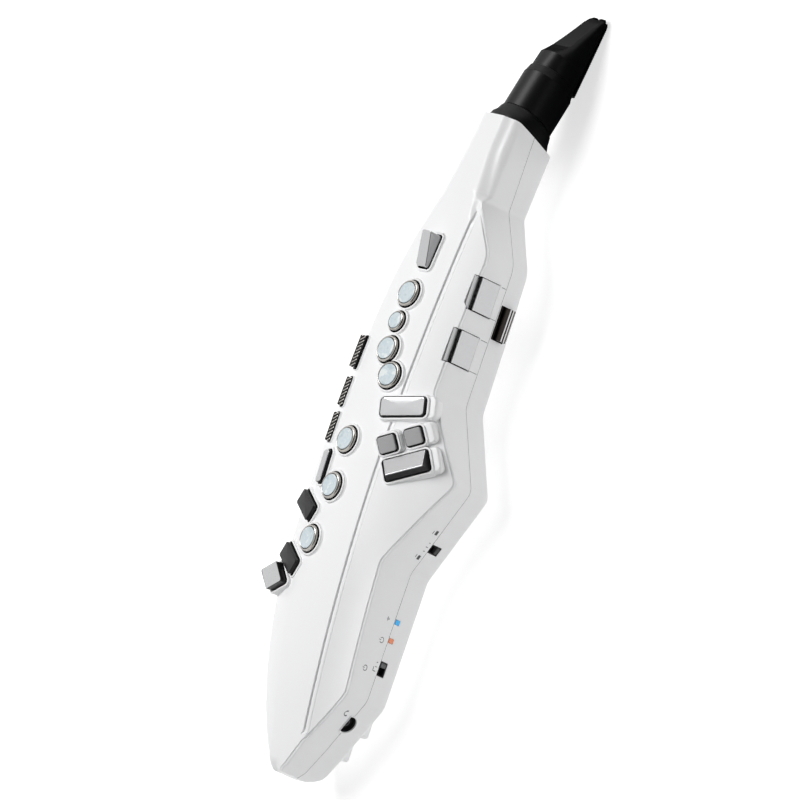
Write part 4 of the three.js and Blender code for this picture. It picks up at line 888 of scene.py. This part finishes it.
def bar_key():
    """A dark rounded bar with two bright lines painted as highlights where its top turns into the outer face, and a
    paler outer face painted as lit.
    """
    low, high, inner, outer = -13.4, -1.4, 34.2, 43.0
    first, second = high - 8.4, high - 6.2
    profile = [
        (inner, low), (outer - 3.6, low), (outer - 2.0, low + 0.2), (outer - 0.6, low + 0.8), (outer, low + 1.8),
        (outer, first - 0.4), (outer - 0.25, first + 0.3), (outer - 0.45, first + 1.1), (outer - 0.5, second - 0.5),
        (outer - 0.9, second + 0.3), (outer - 1.5, high - 4.0), (outer - 2.3, high - 2.0), (outer - 3.2, high - 0.7),
        (outer - 4.4, high), (inner, high),
    ]
    key = prism_y("palm_key_3_cap", profile, BAR_KEY_Y - PALM_LENGTH / 2, BAR_KEY_Y + PALM_LENGTH / 2)
    finish(key, "palm_key_3", SMOKED, ["palm_key_3"], angle=32, bevel=0.1)

    def is_highlight_line(place, normal):
        return normal.x > 0.7 and min(abs(place.z - first + 0.05), abs(place.z - second + 0.1)) < 0.3

    # The outer face below the lines is painted paler as lit
    paint_faces(key, LIT_SIDE_METAL, lambda place, normal: normal.x > 0.9 and place.z < first - 0.4)
    # Two bright lines are painted as highlights
    paint_faces(key, SILVER_AND_HIGHLIGHT, is_highlight_line)


for key, values in PEARL_KEYS.items():
    pearl_key(key, *values)
for key, values in FLAT_KEYS.items():
    flat_key(key, *values)
for key, values in SIDE_KEYS.items():
    side_key(key, *values)
wedge_key(*X_KEY)
ridge_key(*RIDGE_KEY)
for key, y in PALM_KEYS.items():
    palm_key(key, y)
bar_key()


# Rear shell

def rear_section(y):
    """Closed (x, z) outline of the rear skin at y: down the left side, across the back and up the right side."""
    xl, xr, floor, high = left_edge(y), right_edge(y), rear_height(y), -SEAM_GAP / 2
    radius = min(4.0, (xr - xl) / 3)
    arc = [(radius * (1 - math.cos(a)), floor + radius * (1 - math.sin(a))) for a in spread(0, math.pi / 2, 9)]
    points = [(xl, z) for z in spread(high, floor + radius, 5)] + [(xl + x, z) for x, z in arc[1:]]
    points += [(x, floor) for x in spread(xl + radius, xr - radius, 12)[1:-1]]
    points += [(xr - x, z) for x, z in arc[::-1]] + [(xr, z) for z in spread(floor + radius, high, 5)[1:]]
    return [(x, high + (z - high) * end_fade(y, 9, 0.8)) for x, z in points]


def block(name, x, y, low, high, width, length, radius, soft=0.0):
    """An upright block with rounded corners, and with a softened lower edge if asked for."""
    outline = moved(rectangle(width, length, radius), x, y)
    levels = [(outline, low), (outline, high)]
    if soft:
        inner, nearly = grown(outline, -soft), grown(outline, -soft * 0.3)
        levels[:1] = [(inner, low), (nearly, low + soft * 0.3), (outline, low + soft)]
    return stack(name, levels)


# Middle, width, length and corner radius of each piece that sits in the back
INSERTS = {
    "display_window": (0, -22, 30, 16, 1), "menu_button": (-21, -22, 8, 14, 1.6),
    "volume_knob": (24, -22, 10, 10, 4.8), "octave_key_up": (-2, 73, 18, 9, 3),
    "octave_key_down": (-2, 31, 18, 9, 3), "thumb_rest": (-2, 52, 16, 24, 7.5), "thumb_pad": (19, 52, 11, 18, 3),
}
INSERT_GAP = 0.4
CELL_WIDTH, CELL_LENGTH = 7.1, 50.2
BAY_WIDTH, BAY_LENGTH = 6 * CELL_WIDTH + 1.2, 2 * CELL_LENGTH + 1.8
BAY_MIDDLE = -106 - BAY_LENGTH / 2
FOOT_PLACES = (-239, -258)
LUG_Y, LUG_Z = 6, -27.2
RING_RADIUS, RING_THICK = 9.5, 1.5
HOOK_Y, HOOK_TOP, HOOK_RADIUS, HOOK_THICK, HOOK_WIDTH = -71.8, -22.3, 9.5, 2.2, 22


def rear_shell():
    shell = loft("rear_skin", [[(x, y, z) for x, z in rear_section(y)] for y in STATIONS])
    added = []
    for y in FOOT_PLACES:
        left, right = left_edge(y - 7.5) + 4, right_edge(y - 7.5) - 0.3
        added.append(block("foot", (left + right) / 2, y, -27.5, -20.8, right - left, 15, 2.5, 1.2))
    outline = rounded([(-4.6, -20.8), (4.6, -20.8), (4.6, LUG_Z - 4.6), (-4.6, LUG_Z - 4.6)], 2.0)
    combine(shell, added + [prism_x("lug", moved(outline, LUG_Y, 0), -2, 2)], "UNION")

    cuts = [prism_x("hole", moved(circle(2.4, 32), LUG_Y, LUG_Z), -4, 4)]
    for x, y, width, length, radius in INSERTS.values():
        outline = moved(grown(rectangle(width, length, radius), INSERT_GAP), x, y)
        flare, skin = grown(outline, 0.3), rear_height(y)
        cuts.append(stack("cut", [(flare, -32), (flare, skin), (outline, skin + 0.3), (outline, -12)]))
    cuts.append(block("cut", 0, BAY_MIDDLE, -26, -19.9, BAY_WIDTH + 6, BAY_LENGTH + 6, 3))
    cuts.append(block("cut", 0, BAY_MIDDLE, -21, -6.4, BAY_WIDTH, BAY_LENGTH, 1))
    for offset in (-8, -4, 0, 4, 8):
        length = 2 * math.sqrt(12.5 ** 2 - offset ** 2) - 4
        cuts.append(block("cut", 0, -86 + offset, -26, -18, length, 2, 0.9))
    cuts += [rim_side(NECK_TOP + 48)] + wall_holes()
    half = PALM_LENGTH / 2 + 0.6
    outline = [(32, -13.9), (60, -13.9), (60, -0.9), (32, -0.9)]
    combine(shell, cuts + [prism_y("cut", outline, BAR_KEY_Y - half, BAR_KEY_Y + half)], "DIFFERENCE")
    return shell


rear = rear_shell()
finish(rear, "body", WHITE, ["rear_shell"], angle=32)
# The inside of the rear shell and its seam face are painted near black as shade
paint_faces(rear, SHADE_AND_SOCKET_BLACK, lambda place, normal: is_painted_shade(place, normal, -1))


# Pieces on the back

def rear_frame(x, y):
    """A frame on the back whose Z points out of it, so that heights are depths below the seam."""
    return Matrix.Translation((x, y, 0)) @ Matrix.Rotation(math.pi, 4, "X")


def plate(name, width, length, radius, low, high, soft, matrix):
    return stack(name, softened_stack(rectangle(width, length, radius), low, high, soft, 5), matrix)


def rear_cap(name, body, material, place, low, high, soft, ribs=()):
    """A rounded cap on the back with raised ribs, each given by its middle, width, length and height."""
    x, y, width, length, radius = place
    matrix = rear_frame(x, y)
    cap = plate(name + "_cap", width, length, radius, low, high, soft, matrix)
    bars = []
    for x, y, width, length, height in ribs:
        outline = moved(rectangle(width, length, min(width, length) * 0.45), x, y)
        bars.append(stack("rib", softened_stack(outline, high - 1.0, high + height, height * 0.8, 5), matrix))
    if bars:
        combine(cap, bars, "UNION")
    finish(cap, body, material, [name])


def display():
    """A black bezel around a glass pane."""
    matrix = rear_frame(*INSERTS["display_window"][:2])
    bezel = plate("display_bezel", 31.6, 17.6, 1.4, 17.2, 21.6, 0.3, matrix)
    combine(bezel, [plate("opening", 27.4, 13.0, 0.8, 21.1, 23, 0.01, matrix)], "DIFFERENCE")
    finish(bezel, "body", BLACK_AND_SHADE, ["display_window"], angle=35)
    finish(plate("display_pane", 27.2, 12.8, 0.7, 20.6, 21.25, 0.1, matrix), "body", GLASS, angle=35)


def volume_knob():
    profile = [
        (0.01, 17.2), (5.0, 17.2), (5.0, 21.9), (5.6, 22.1), (5.85, 22.4), (5.85, 22.8), (5.85, 23.6), (5.85, 24.5),
        (5.6, 24.95), (5.0, 25.25), (4.2, 25.3), (3.8, 25.1), (3.6, 24.8), (0.01, 24.7),
    ]
    matrix = rear_frame(*INSERTS["volume_knob"][:2])
    knob = revolve("volume_knob_cap", profile, matrix, 216, 36, 0.3, (22.2, 24.6))
    finish(knob, "volume_knob", BLACK_AND_SHADE, ["volume_knob"], angle=45)


def thumb_hook():
    """A wide C shaped hook on a flat base."""
    middle = HOOK_TOP - HOOK_THICK / 2 - HOOK_RADIUS
    start, end = math.radians(62), math.radians(62 - 174)
    outline = arc_points(HOOK_RADIUS + HOOK_THICK / 2, start, end, 36)
    outline += arc_points(HOOK_RADIUS - HOOK_THICK / 2, end, start, 36)
    hook = prism_x("thumb_hook_arm", moved(outline, HOOK_Y, middle), -HOOK_WIDTH / 2, HOOK_WIDTH / 2)
    base = block("base", 0, HOOK_Y, HOOK_TOP - HOOK_THICK, HOOK_TOP, HOOK_WIDTH, HOOK_WIDTH, 2.2, 0.3)
    combine(hook, [base], "UNION")
    finish(hook, "thumb_hook", BLACK_AND_SHADE, ["thumb_hook"], bevel=0.45)


cover_place = (0, BAY_MIDDLE, BAY_WIDTH + 5.4, BAY_LENGTH + 5.4, 3)
cover_ribs = [(0, -BAY_LENGTH / 2 + 6 + 2.6 * k, 22, 1.3, 0.35) for k in range(6)]
rest_ribs = [(0, 3 * k, 9 if abs(k) < 3 else 6, 1.1, 0.3) for k in range(-3, 4)]
pad_ribs = [(0, 2.4 * k, 7, 1.0, 0.3) for k in range(-3, 4)]
button_ribs = [(0, -3.5, 3.2, 0.9, 0.25), (0, 3.5, 3.2, 0.9, 0.25), (0, 3.5, 0.9, 3.2, 0.25)]
rear_cap("battery_cover", "battery_cover", WHITE, cover_place, 20.2, 22.0, 0.5, cover_ribs)
rear_cap("thumb_rest", "body", RUBBER, INSERTS["thumb_rest"], 15.4, 21.5, 0.8, rest_ribs)
rear_cap("thumb_pad", "thumb_pad", RUBBER, INSERTS["thumb_pad"], 15.4, 21.9, 0.7, pad_ribs)
rear_cap("octave_key_up", "octave_key_up", SILVER_AND_HIGHLIGHT, INSERTS["octave_key_up"], 14.8, 22.5, 1.1)
rear_cap("octave_key_down", "octave_key_down", SILVER_AND_HIGHLIGHT, INSERTS["octave_key_down"], 16.2, 24.0, 1.1)
rear_cap("menu_button", "menu_button", BLACK_AND_SHADE, INSERTS["menu_button"], 17.2, 22.9, 0.6, button_ribs)
display()
volume_knob()
ring = loop("strap_ring_loop", RING_RADIUS, RING_THICK, Matrix.Translation((0, LUG_Y + RING_RADIUS, LUG_Z)))
finish(ring, "strap_ring", STEEL, ["strap_ring"], angle=60)
thumb_hook()


# Pieces in the right wall

def slide_switch(name, matrix, size, along):
    """A black tray with a ribbed knob that slides along the body, or up the wall."""
    outline = rectangle(size[0] - 0.3, size[1] - 0.3, 0.4)
    inner = grown(outline, -0.7)
    tray = stack(name + "_tray", [
        (outline, -7), (outline, -0.6), (grown(outline, -0.15), -0.4), (grown(inner, 0.1), -0.4), (inner, -0.6),
        (inner, -3.4), (grown(inner, -0.3), -3.5),
    ], matrix)
    finish(tray, "body", BLACK_AND_SHADE, [name + "_bed"], angle=35)
    if along:
        run, across, shift = size[0] * 0.42 - 1.4, size[1] - 2.2, size[0] * 0.29 - 0.4
    else:
        run, across, shift = size[1] * 0.42 - 1.4, size[0] - 2.2, 0.4 - size[1] * 0.29
    line = [(-run / 2, -3.2), (-run / 2, -0.35), (-run / 2 + 0.2, -0.1)]
    quarter = run / 16
    for share in (0.125, 0.375, 0.625, 0.875):
        middle = -run / 2 + run * share
        line += [(middle - quarter, -0.1), (middle - quarter * 0.5, 0.18), (middle + quarter * 0.5, 0.18)]
        line += [(middle + quarter, -0.1)]
    line += [(run / 2 - 0.2, -0.1), (run / 2, -0.35), (run / 2, -3.2)]
    draw = prism_y if along else prism_x
    knob = draw(name + "_knob", moved(line, shift, 0), -across / 2, across / 2, matrix)
    finish(knob, name, GREY_KNOB, [name], angle=35)


def lamp(name, matrix, material):
    outline = rectangle(LAMP_SIZE[0] - 0.25, LAMP_SIZE[1] - 0.25, 0.5)
    lens = stack(name + "_lens", softened_stack(outline, -3, 0.2, 0.35), matrix)
    finish(lens, "body", material, [name], angle=50, weighted=True)


def jack():
    """The socket with its ring, in a dark liner and a white lip that have one flat side."""
    profile = [
        (1.9, -8), (1.9, -2.7), (2.1, -2.5), (3.3, -2.5), (3.5, -2.3), (3.5, -1.9), (3.7, -1.7), (4.3, -1.7),
        (4.5, -1.9), (4.5, -2.6), (5.2, -2.7), (5.2, -8), (4.0, -8.0),
    ]
    finish(revolve("jack_socket", profile, JACK_FRAME, 64), "body", SHADE_AND_SOCKET_BLACK, ["phones_jack"], angle=35)
    wall, hollow = jack_outline(6.55), jack_outline(5.3)
    liner = stack("jack_liner", [
        (wall, -6), (wall, -0.35), (grown(wall, -0.15), -0.15), (grown(wall, -0.35), -0.35), (hollow, -2.4),
        (hollow, -6),
    ], JACK_FRAME)
    finish(liner, "body", BLACK_AND_SHADE, angle=50)
    profile = [(2.0, -2.6), (2.0, -2.25), (2.25, -2.1), (2.8, -2.1), (3.0, -2.25), (3.0, -2.6)]
    finish(revolve("jack_ring", profile, JACK_FRAME, 64), "body", PRINT, slot="black_plastic", angle=35)
    inner = jack_outline(6.7)
    outer = grown(inner, 0.9)
    lip = stack("jack_lip", [
        (outer, -6.2), (outer, 0.25), (grown(inner, 0.65), 0.5), (grown(inner, 0.2), 0.5), (inner, 0.25), (inner, -6),
    ], JACK_FRAME)
    finish(lip, "body", WHITE, angle=50)


slide_switch("tone_switch", TONE_FRAME, TONE_SIZE, False)
slide_switch("power_switch", POWER_FRAME, POWER_SIZE, True)
lamp("blue_lamp", BLUE_FRAME, BLUE)
lamp("orange_lamp", ORANGE_FRAME, ORANGE)
jack()


# Printed marks: plain lines and signs, slightly proud of the skin

def wall_mark(name, y, height, outlines, swing=0.0):
    """A flat sign on the right wall; its outlines run along the wall and up it."""
    matrix = wall_frame(y, height) @ Matrix.Rotation(math.radians(swing), 4, "Z")
    for index, outline in enumerate(outlines):
        finish(stack(f"{name}_{index}", [(outline, -0.3), (outline, 0.05)], matrix), "body", PRINT)


def bar(x, y, width, length):
    u, v = width / 2, length / 2
    return moved([(-u, -v), (u, -v), (u, v), (-u, v)], x, y)


def arc_bar(radius, width, start, end):
    start, end = math.radians(start), math.radians(end)
    return arc_points(radius + width / 2, start, end, 14) + arc_points(radius - width / 2, end, start, 14)


for y in PALM_KEYS.values():
    for side in (-1, 1):
        place = y + side * (PALM_LENGTH / 2 - 0.2)
        low = front_height(PALM_X, place) - 23.4
        wall_mark("palm_line", place, 0, [bar(0, (low + 0.6) / 2, 0.35, low - 1.2)])
square = rectangle(3.4, 2.6, 0.4)
power = [arc_bar(1.9, 0.5, 125, 415), bar(0, 1.7, 0.5, 2.0)]
radio = [arc_bar(0.9, 0.45, 40, 140), arc_bar(2.0, 0.45, 45, 135), bar(0, 0, 0.6, 0.6)]
phones = [arc_bar(1.9, 0.5, 15, 165), bar(-1.9, -0.2, 1.0, 1.8), bar(1.9, -0.2, 1.0, 1.8)]
wall_mark("tone_mark_high", -98.5, 4.0, [square, bar(-0.5, 3.2, 2.4, 0.5)])
wall_mark("tone_mark_low", -118.0, 4.0, [square, bar(0.5, 3.2, 2.4, 0.5)])
wall_mark("tone_ticks", -109.6, 3.4, [bar(-3.5, 0, 0.5, 1.4), bar(0, 0, 0.5, 2.4), bar(3.5, 0, 0.5, 1.4)])
wall_mark("lamp_sign", -180.5, 6.5, power)
wall_mark("power_sign", -203.0, 13.5, power)
wall_mark("radio_sign", -165.0, 6.0, radio)
wall_mark("power_ticks", -199.2, 3.2, [
    bar(-3.2, 0.8, 0.5, 3.0), bar(0, 0, 0.5, 1.6), bar(3.2, 0, 0.5, 1.6), bar(-1.6, 2.2, 2.6, 0.5),
])
wall_mark("jack_sign", -236.5, 9.0, phones, 20)


# Mouthpiece, reed and collar, in a frame whose Y runs out of the neck

MOUTH_FRAME = Matrix.Translation((1, 198.4, -4.3)) @ Matrix.Rotation(math.radians(-18.2), 4, "X")
HALF_WIDTH, HALF_DEPTH, MOUTH_LENGTH = 16.5, 21.5, 95.0
# Share of the length, shares of half width, top and bottom, and how square the section is
BEAK = [
    (0.003, 1, 1, -1, 2.2), (0.31, 1, 1, -1, 2.2), (0.316, 0.985, 0.98, -0.98, 2.2), (0.375, 0.9, 0.92, -0.9, 2.3),
    (0.38, 0.86, 0.88, -0.86, 2.3), (0.51, 0.81, 0.84, -0.8, 2.6), (0.545, 0.77, 0.72, -0.75, 2.8),
    (0.62, 0.71, 0.5, -0.7, 3), (0.73, 0.62, 0.26, -0.655, 3.2), (0.84, 0.55, 0.03, -0.595, 3.4),
    (0.93, 0.5, -0.15, -0.535, 3.4), (0.975, 0.46, -0.27, -0.5, 3), (1, 0.36, -0.36, -0.46, 2.6),
]
FACET = [
    (0.535, 1.2), (0.54, 0.72), (0.56, 0.62), (0.62, 0.435), (0.73, 0.22), (0.84, 0.0), (0.93, -0.175),
    (0.975, -0.285), (1.0, -0.37), (1.05, -0.6), (1.05, 1.5), (0.535, 1.5),
]


def mouth_ring(at, half, top, bottom, power):
    """A section whose corners get squarer with a higher power."""
    ring = []
    for c, s in circle(1):
        x = half * math.copysign(abs(c) ** (2 / power), c)
        z = (top + bottom) / 2 + (top - bottom) / 2 * math.copysign(abs(s) ** (2 / power), s)
        ring.append((x, at, z))
    return ring


def mouthpiece():
    """A barrel and a beak, cut by a slanting facet and an open slot at the tip."""
    table = np.array(BEAK)
    rings = []
    for place in sorted({*table[:, 0], *np.linspace(0.003, 1, 60)}):
        width, top, bottom, power = [blend(place, table[:, 0], table[:, column]) for column in (1, 2, 3, 4)]
        depths = top * HALF_DEPTH, bottom * HALF_DEPTH
        rings.append(mouth_ring(place * MOUTH_LENGTH, width * HALF_WIDTH, *depths, power))
    body = loft("mouthpiece_body", rings, MOUTH_FRAME)
    facet = prism_x("facet", [(at * MOUTH_LENGTH, z * HALF_DEPTH) for at, z in FACET], -30, 30, MOUTH_FRAME)
    opening = [(-1.7, -26.5), (1.7, -26.5), (1.7, -6.5), (-1.7, -6.5)]
    slot = loft("slot", [[(x, at, z + (at - 62) * 0.02) for x, z in opening] for at in (62, 97)], MOUTH_FRAME)
    combine(body, [facet, slot], "DIFFERENCE")
    finish(body, "mouthpiece", MOUTH, ["mouthpiece"], angle=24, bevel=0.3, segments=2)


def reed():
    """A plate under the beak that thins and rounds off towards the tip."""
    heel, tip = 36.5, MOUTH_LENGTH * 0.992
    rings = []
    for t in spread(0, 1, 25):
        at = heel + (tip - heel) * t
        thick = 2.6 * blend(t, [0, 0.4, 1], [1, 0.8, 0.2])
        top = -HALF_DEPTH * (0.875 + (0.545 - 0.875) * t) - 0.3
        half = 8 * (1 - 0.08 * t)
        if t > 0.92:
            half *= math.sqrt(max(0.05, 1 - ((t - 0.92) / 0.09) ** 2)) * 0.35 + 0.65
        ring = [(-half, at, top)]
        for c, s in arc_points(1, 0, math.pi, 12):
            ring.append((-half * c, at, top - thick * (0.55 + 0.45 * s) - 0.3 * s))
        rings.append(ring + [(half, at, top)])
    finish(loft("reed_plate", rings, MOUTH_FRAME), "mouthpiece", REED, ["reed"], bevel=0.15, segments=2)


def collar():
    foot = (44.3 + REAR_DEPTH) * 0.395
    table = [
        (-24, 16.3, foot + 1.5, -foot + 1, 3.2), (-12, 16.3, foot, -foot + 0.5, 3.2), (-8.5, 16.5, 25.2, -24.8, 3.0),
        (-6, 16.7, 23.3, -23.3, 2.7), (-3, 16.95, 22.5, -22.5, 2.5), (-0.9, 17.0, 22.15, -22.15, 2.3),
        (-0.3, 16.6, 21.7, -21.7, 2.3),
    ]
    body = loft("neck_collar_flare", [mouth_ring(*row) for row in table], MOUTH_FRAME)
    combine(body, [rim_side(FLARE_START, 0.3)], "DIFFERENCE")
    finish(body, "body", MOUTH, ["neck_collar"], angle=28)


mouthpiece()
reed()
collar()


# Camera, light and floor

def aim(obj, towards, up=(0, 1, 0)):
    back = -Vector(towards).normalized()
    side = Vector(up).cross(back).normalized()
    place = obj.location.copy()
    obj.matrix_world = Matrix((side, back.cross(side), back)).transposed().to_4x4()
    obj.location = place


def add_camera():
    target = Vector((-13.2, -14.8, 9.8)) * MM + SHIFT
    back = Vector((0.6655, -0.1038, 0.7391)).normalized()
    distance, view_width = 20.0, 0.5556
    data = bpy.data.cameras.new("camera")
    data.sensor_width = 36
    data.lens = data.sensor_width * distance / view_width
    data.clip_end = 50
    camera = new_object("camera", data)
    camera.location = target + back * distance
    aim(camera, -back, (-0.1756, 0.9407, 0.2902))
    bpy.context.scene.camera = camera


def add_lamp(name, direction, distance, size, power, mirrored=False, spreads=True):
    """A round lamp; a mirrored one is seen in reflections, and one that doesn't spread gives only highlights."""
    data = bpy.data.lights.new(name, "AREA")
    data.shape = "DISK"
    data.size = size
    data.energy = power
    lamp = new_object(name, data)
    towards = Vector(direction).normalized()
    lamp.location = towards * distance
    lamp.visible_glossy = mirrored
    lamp.visible_diffuse = spreads
    aim(lamp, -towards, (0, 1, 0.01))


def where_seen(tree, low, high):
    """A high value for camera, mirror and transmission rays and a low one for the rays that light the object."""
    path = add_node(tree, "LightPath", {})
    seen = path.outputs["Is Camera Ray"]
    for kind in ("Is Glossy Ray", "Is Transmission Ray"):
        either = add_node(tree, "Math", {0: seen, 1: path.outputs[kind]})
        either.operation = "MAXIMUM"
        seen = either.outputs[0]
    return add_node(tree, "MapRange", {"To Min": low, "To Max": high, "Value": seen}).outputs["Result"]


def add_world():
    world = bpy.data.worlds.new("studio")
    bpy.context.scene.world = world
    world.use_nodes = True
    tree = world.node_tree
    feed(tree, tree.nodes["Background"], {"Color": (1, 1, 1, 1), "Strength": where_seen(tree, 0.15, 1.0)})


def add_sheet(name, width, length, color, glow):
    """A flat rectangle of a dull material that can glow."""
    x, y = width / 2, length / 2
    mesh = bpy.data.meshes.new(name)
    mesh.from_pydata([(-x, -y, 0), (x, -y, 0), (x, y, 0), (-x, y, 0)], [], [(0, 1, 2, 3)])
    material, tree, shader = new_material(name, color, 1.0, specular=0.0)
    strength = where_seen(tree, *glow) if isinstance(glow, tuple) else glow
    feed(tree, shader, {"Emission Color": (1, 1, 1, 1), "Emission Strength": strength})
    mesh.materials.append(material)
    sheet = new_object(name, mesh)
    return sheet


def add_reflector(name, place, towards, width, length, shade):
    """A panel that only reflections see, as in a studio."""
    panel = add_sheet(name, width, length, (0, 0, 0), shade)
    panel.location = place
    aim(panel, towards)
    panel.visible_camera = panel.visible_diffuse = panel.visible_shadow = panel.visible_transmission = False


def add_card(name, elevation, spread_angle, shade):
    """A long reflector on the right, from its middle elevation and spread in degrees."""
    distance = 2.0
    c, s = math.cos(math.radians(elevation)), math.sin(math.radians(elevation))
    width = 2 * distance * math.tan(math.radians(spread_angle / 2))
    add_reflector(name, (distance * c, 0, distance * s + 0.05), (-c, 0, -s), width, 5.0, shade)


add_camera()
add_world()
add_sheet("floor", 12.0, 12.0, (0.62, 0.62, 0.62), (0.62, 0.66)).location.z = -0.0005
add_lamp("key_lamp", (-0.2, 0.04, 0.98), 1.9, 1.2, 32)
add_lamp("wall_lamp", (1.0, -0.15, 0.04), 2.4, 1.0, 6)
add_lamp("highlight_lamp", (-0.2, 0.6, 0.78), 2.2, 1.3, 30, True, False)
add_card("dark_card", 33, 66, 0.0)
add_card("grey_card", 77, 18, 0.45)
add_reflector("mouth_flag", (0.15, 0.30, 0.0002), (0, 0, -1), 0.32, 0.24, 0.0)
add_reflector("beak_flag", (-0.13, 0.42, 0.0002), (0, 0, -1), 0.24, 0.3, 0.0)
bpy.context.scene.view_settings.view_transform = "Standard"
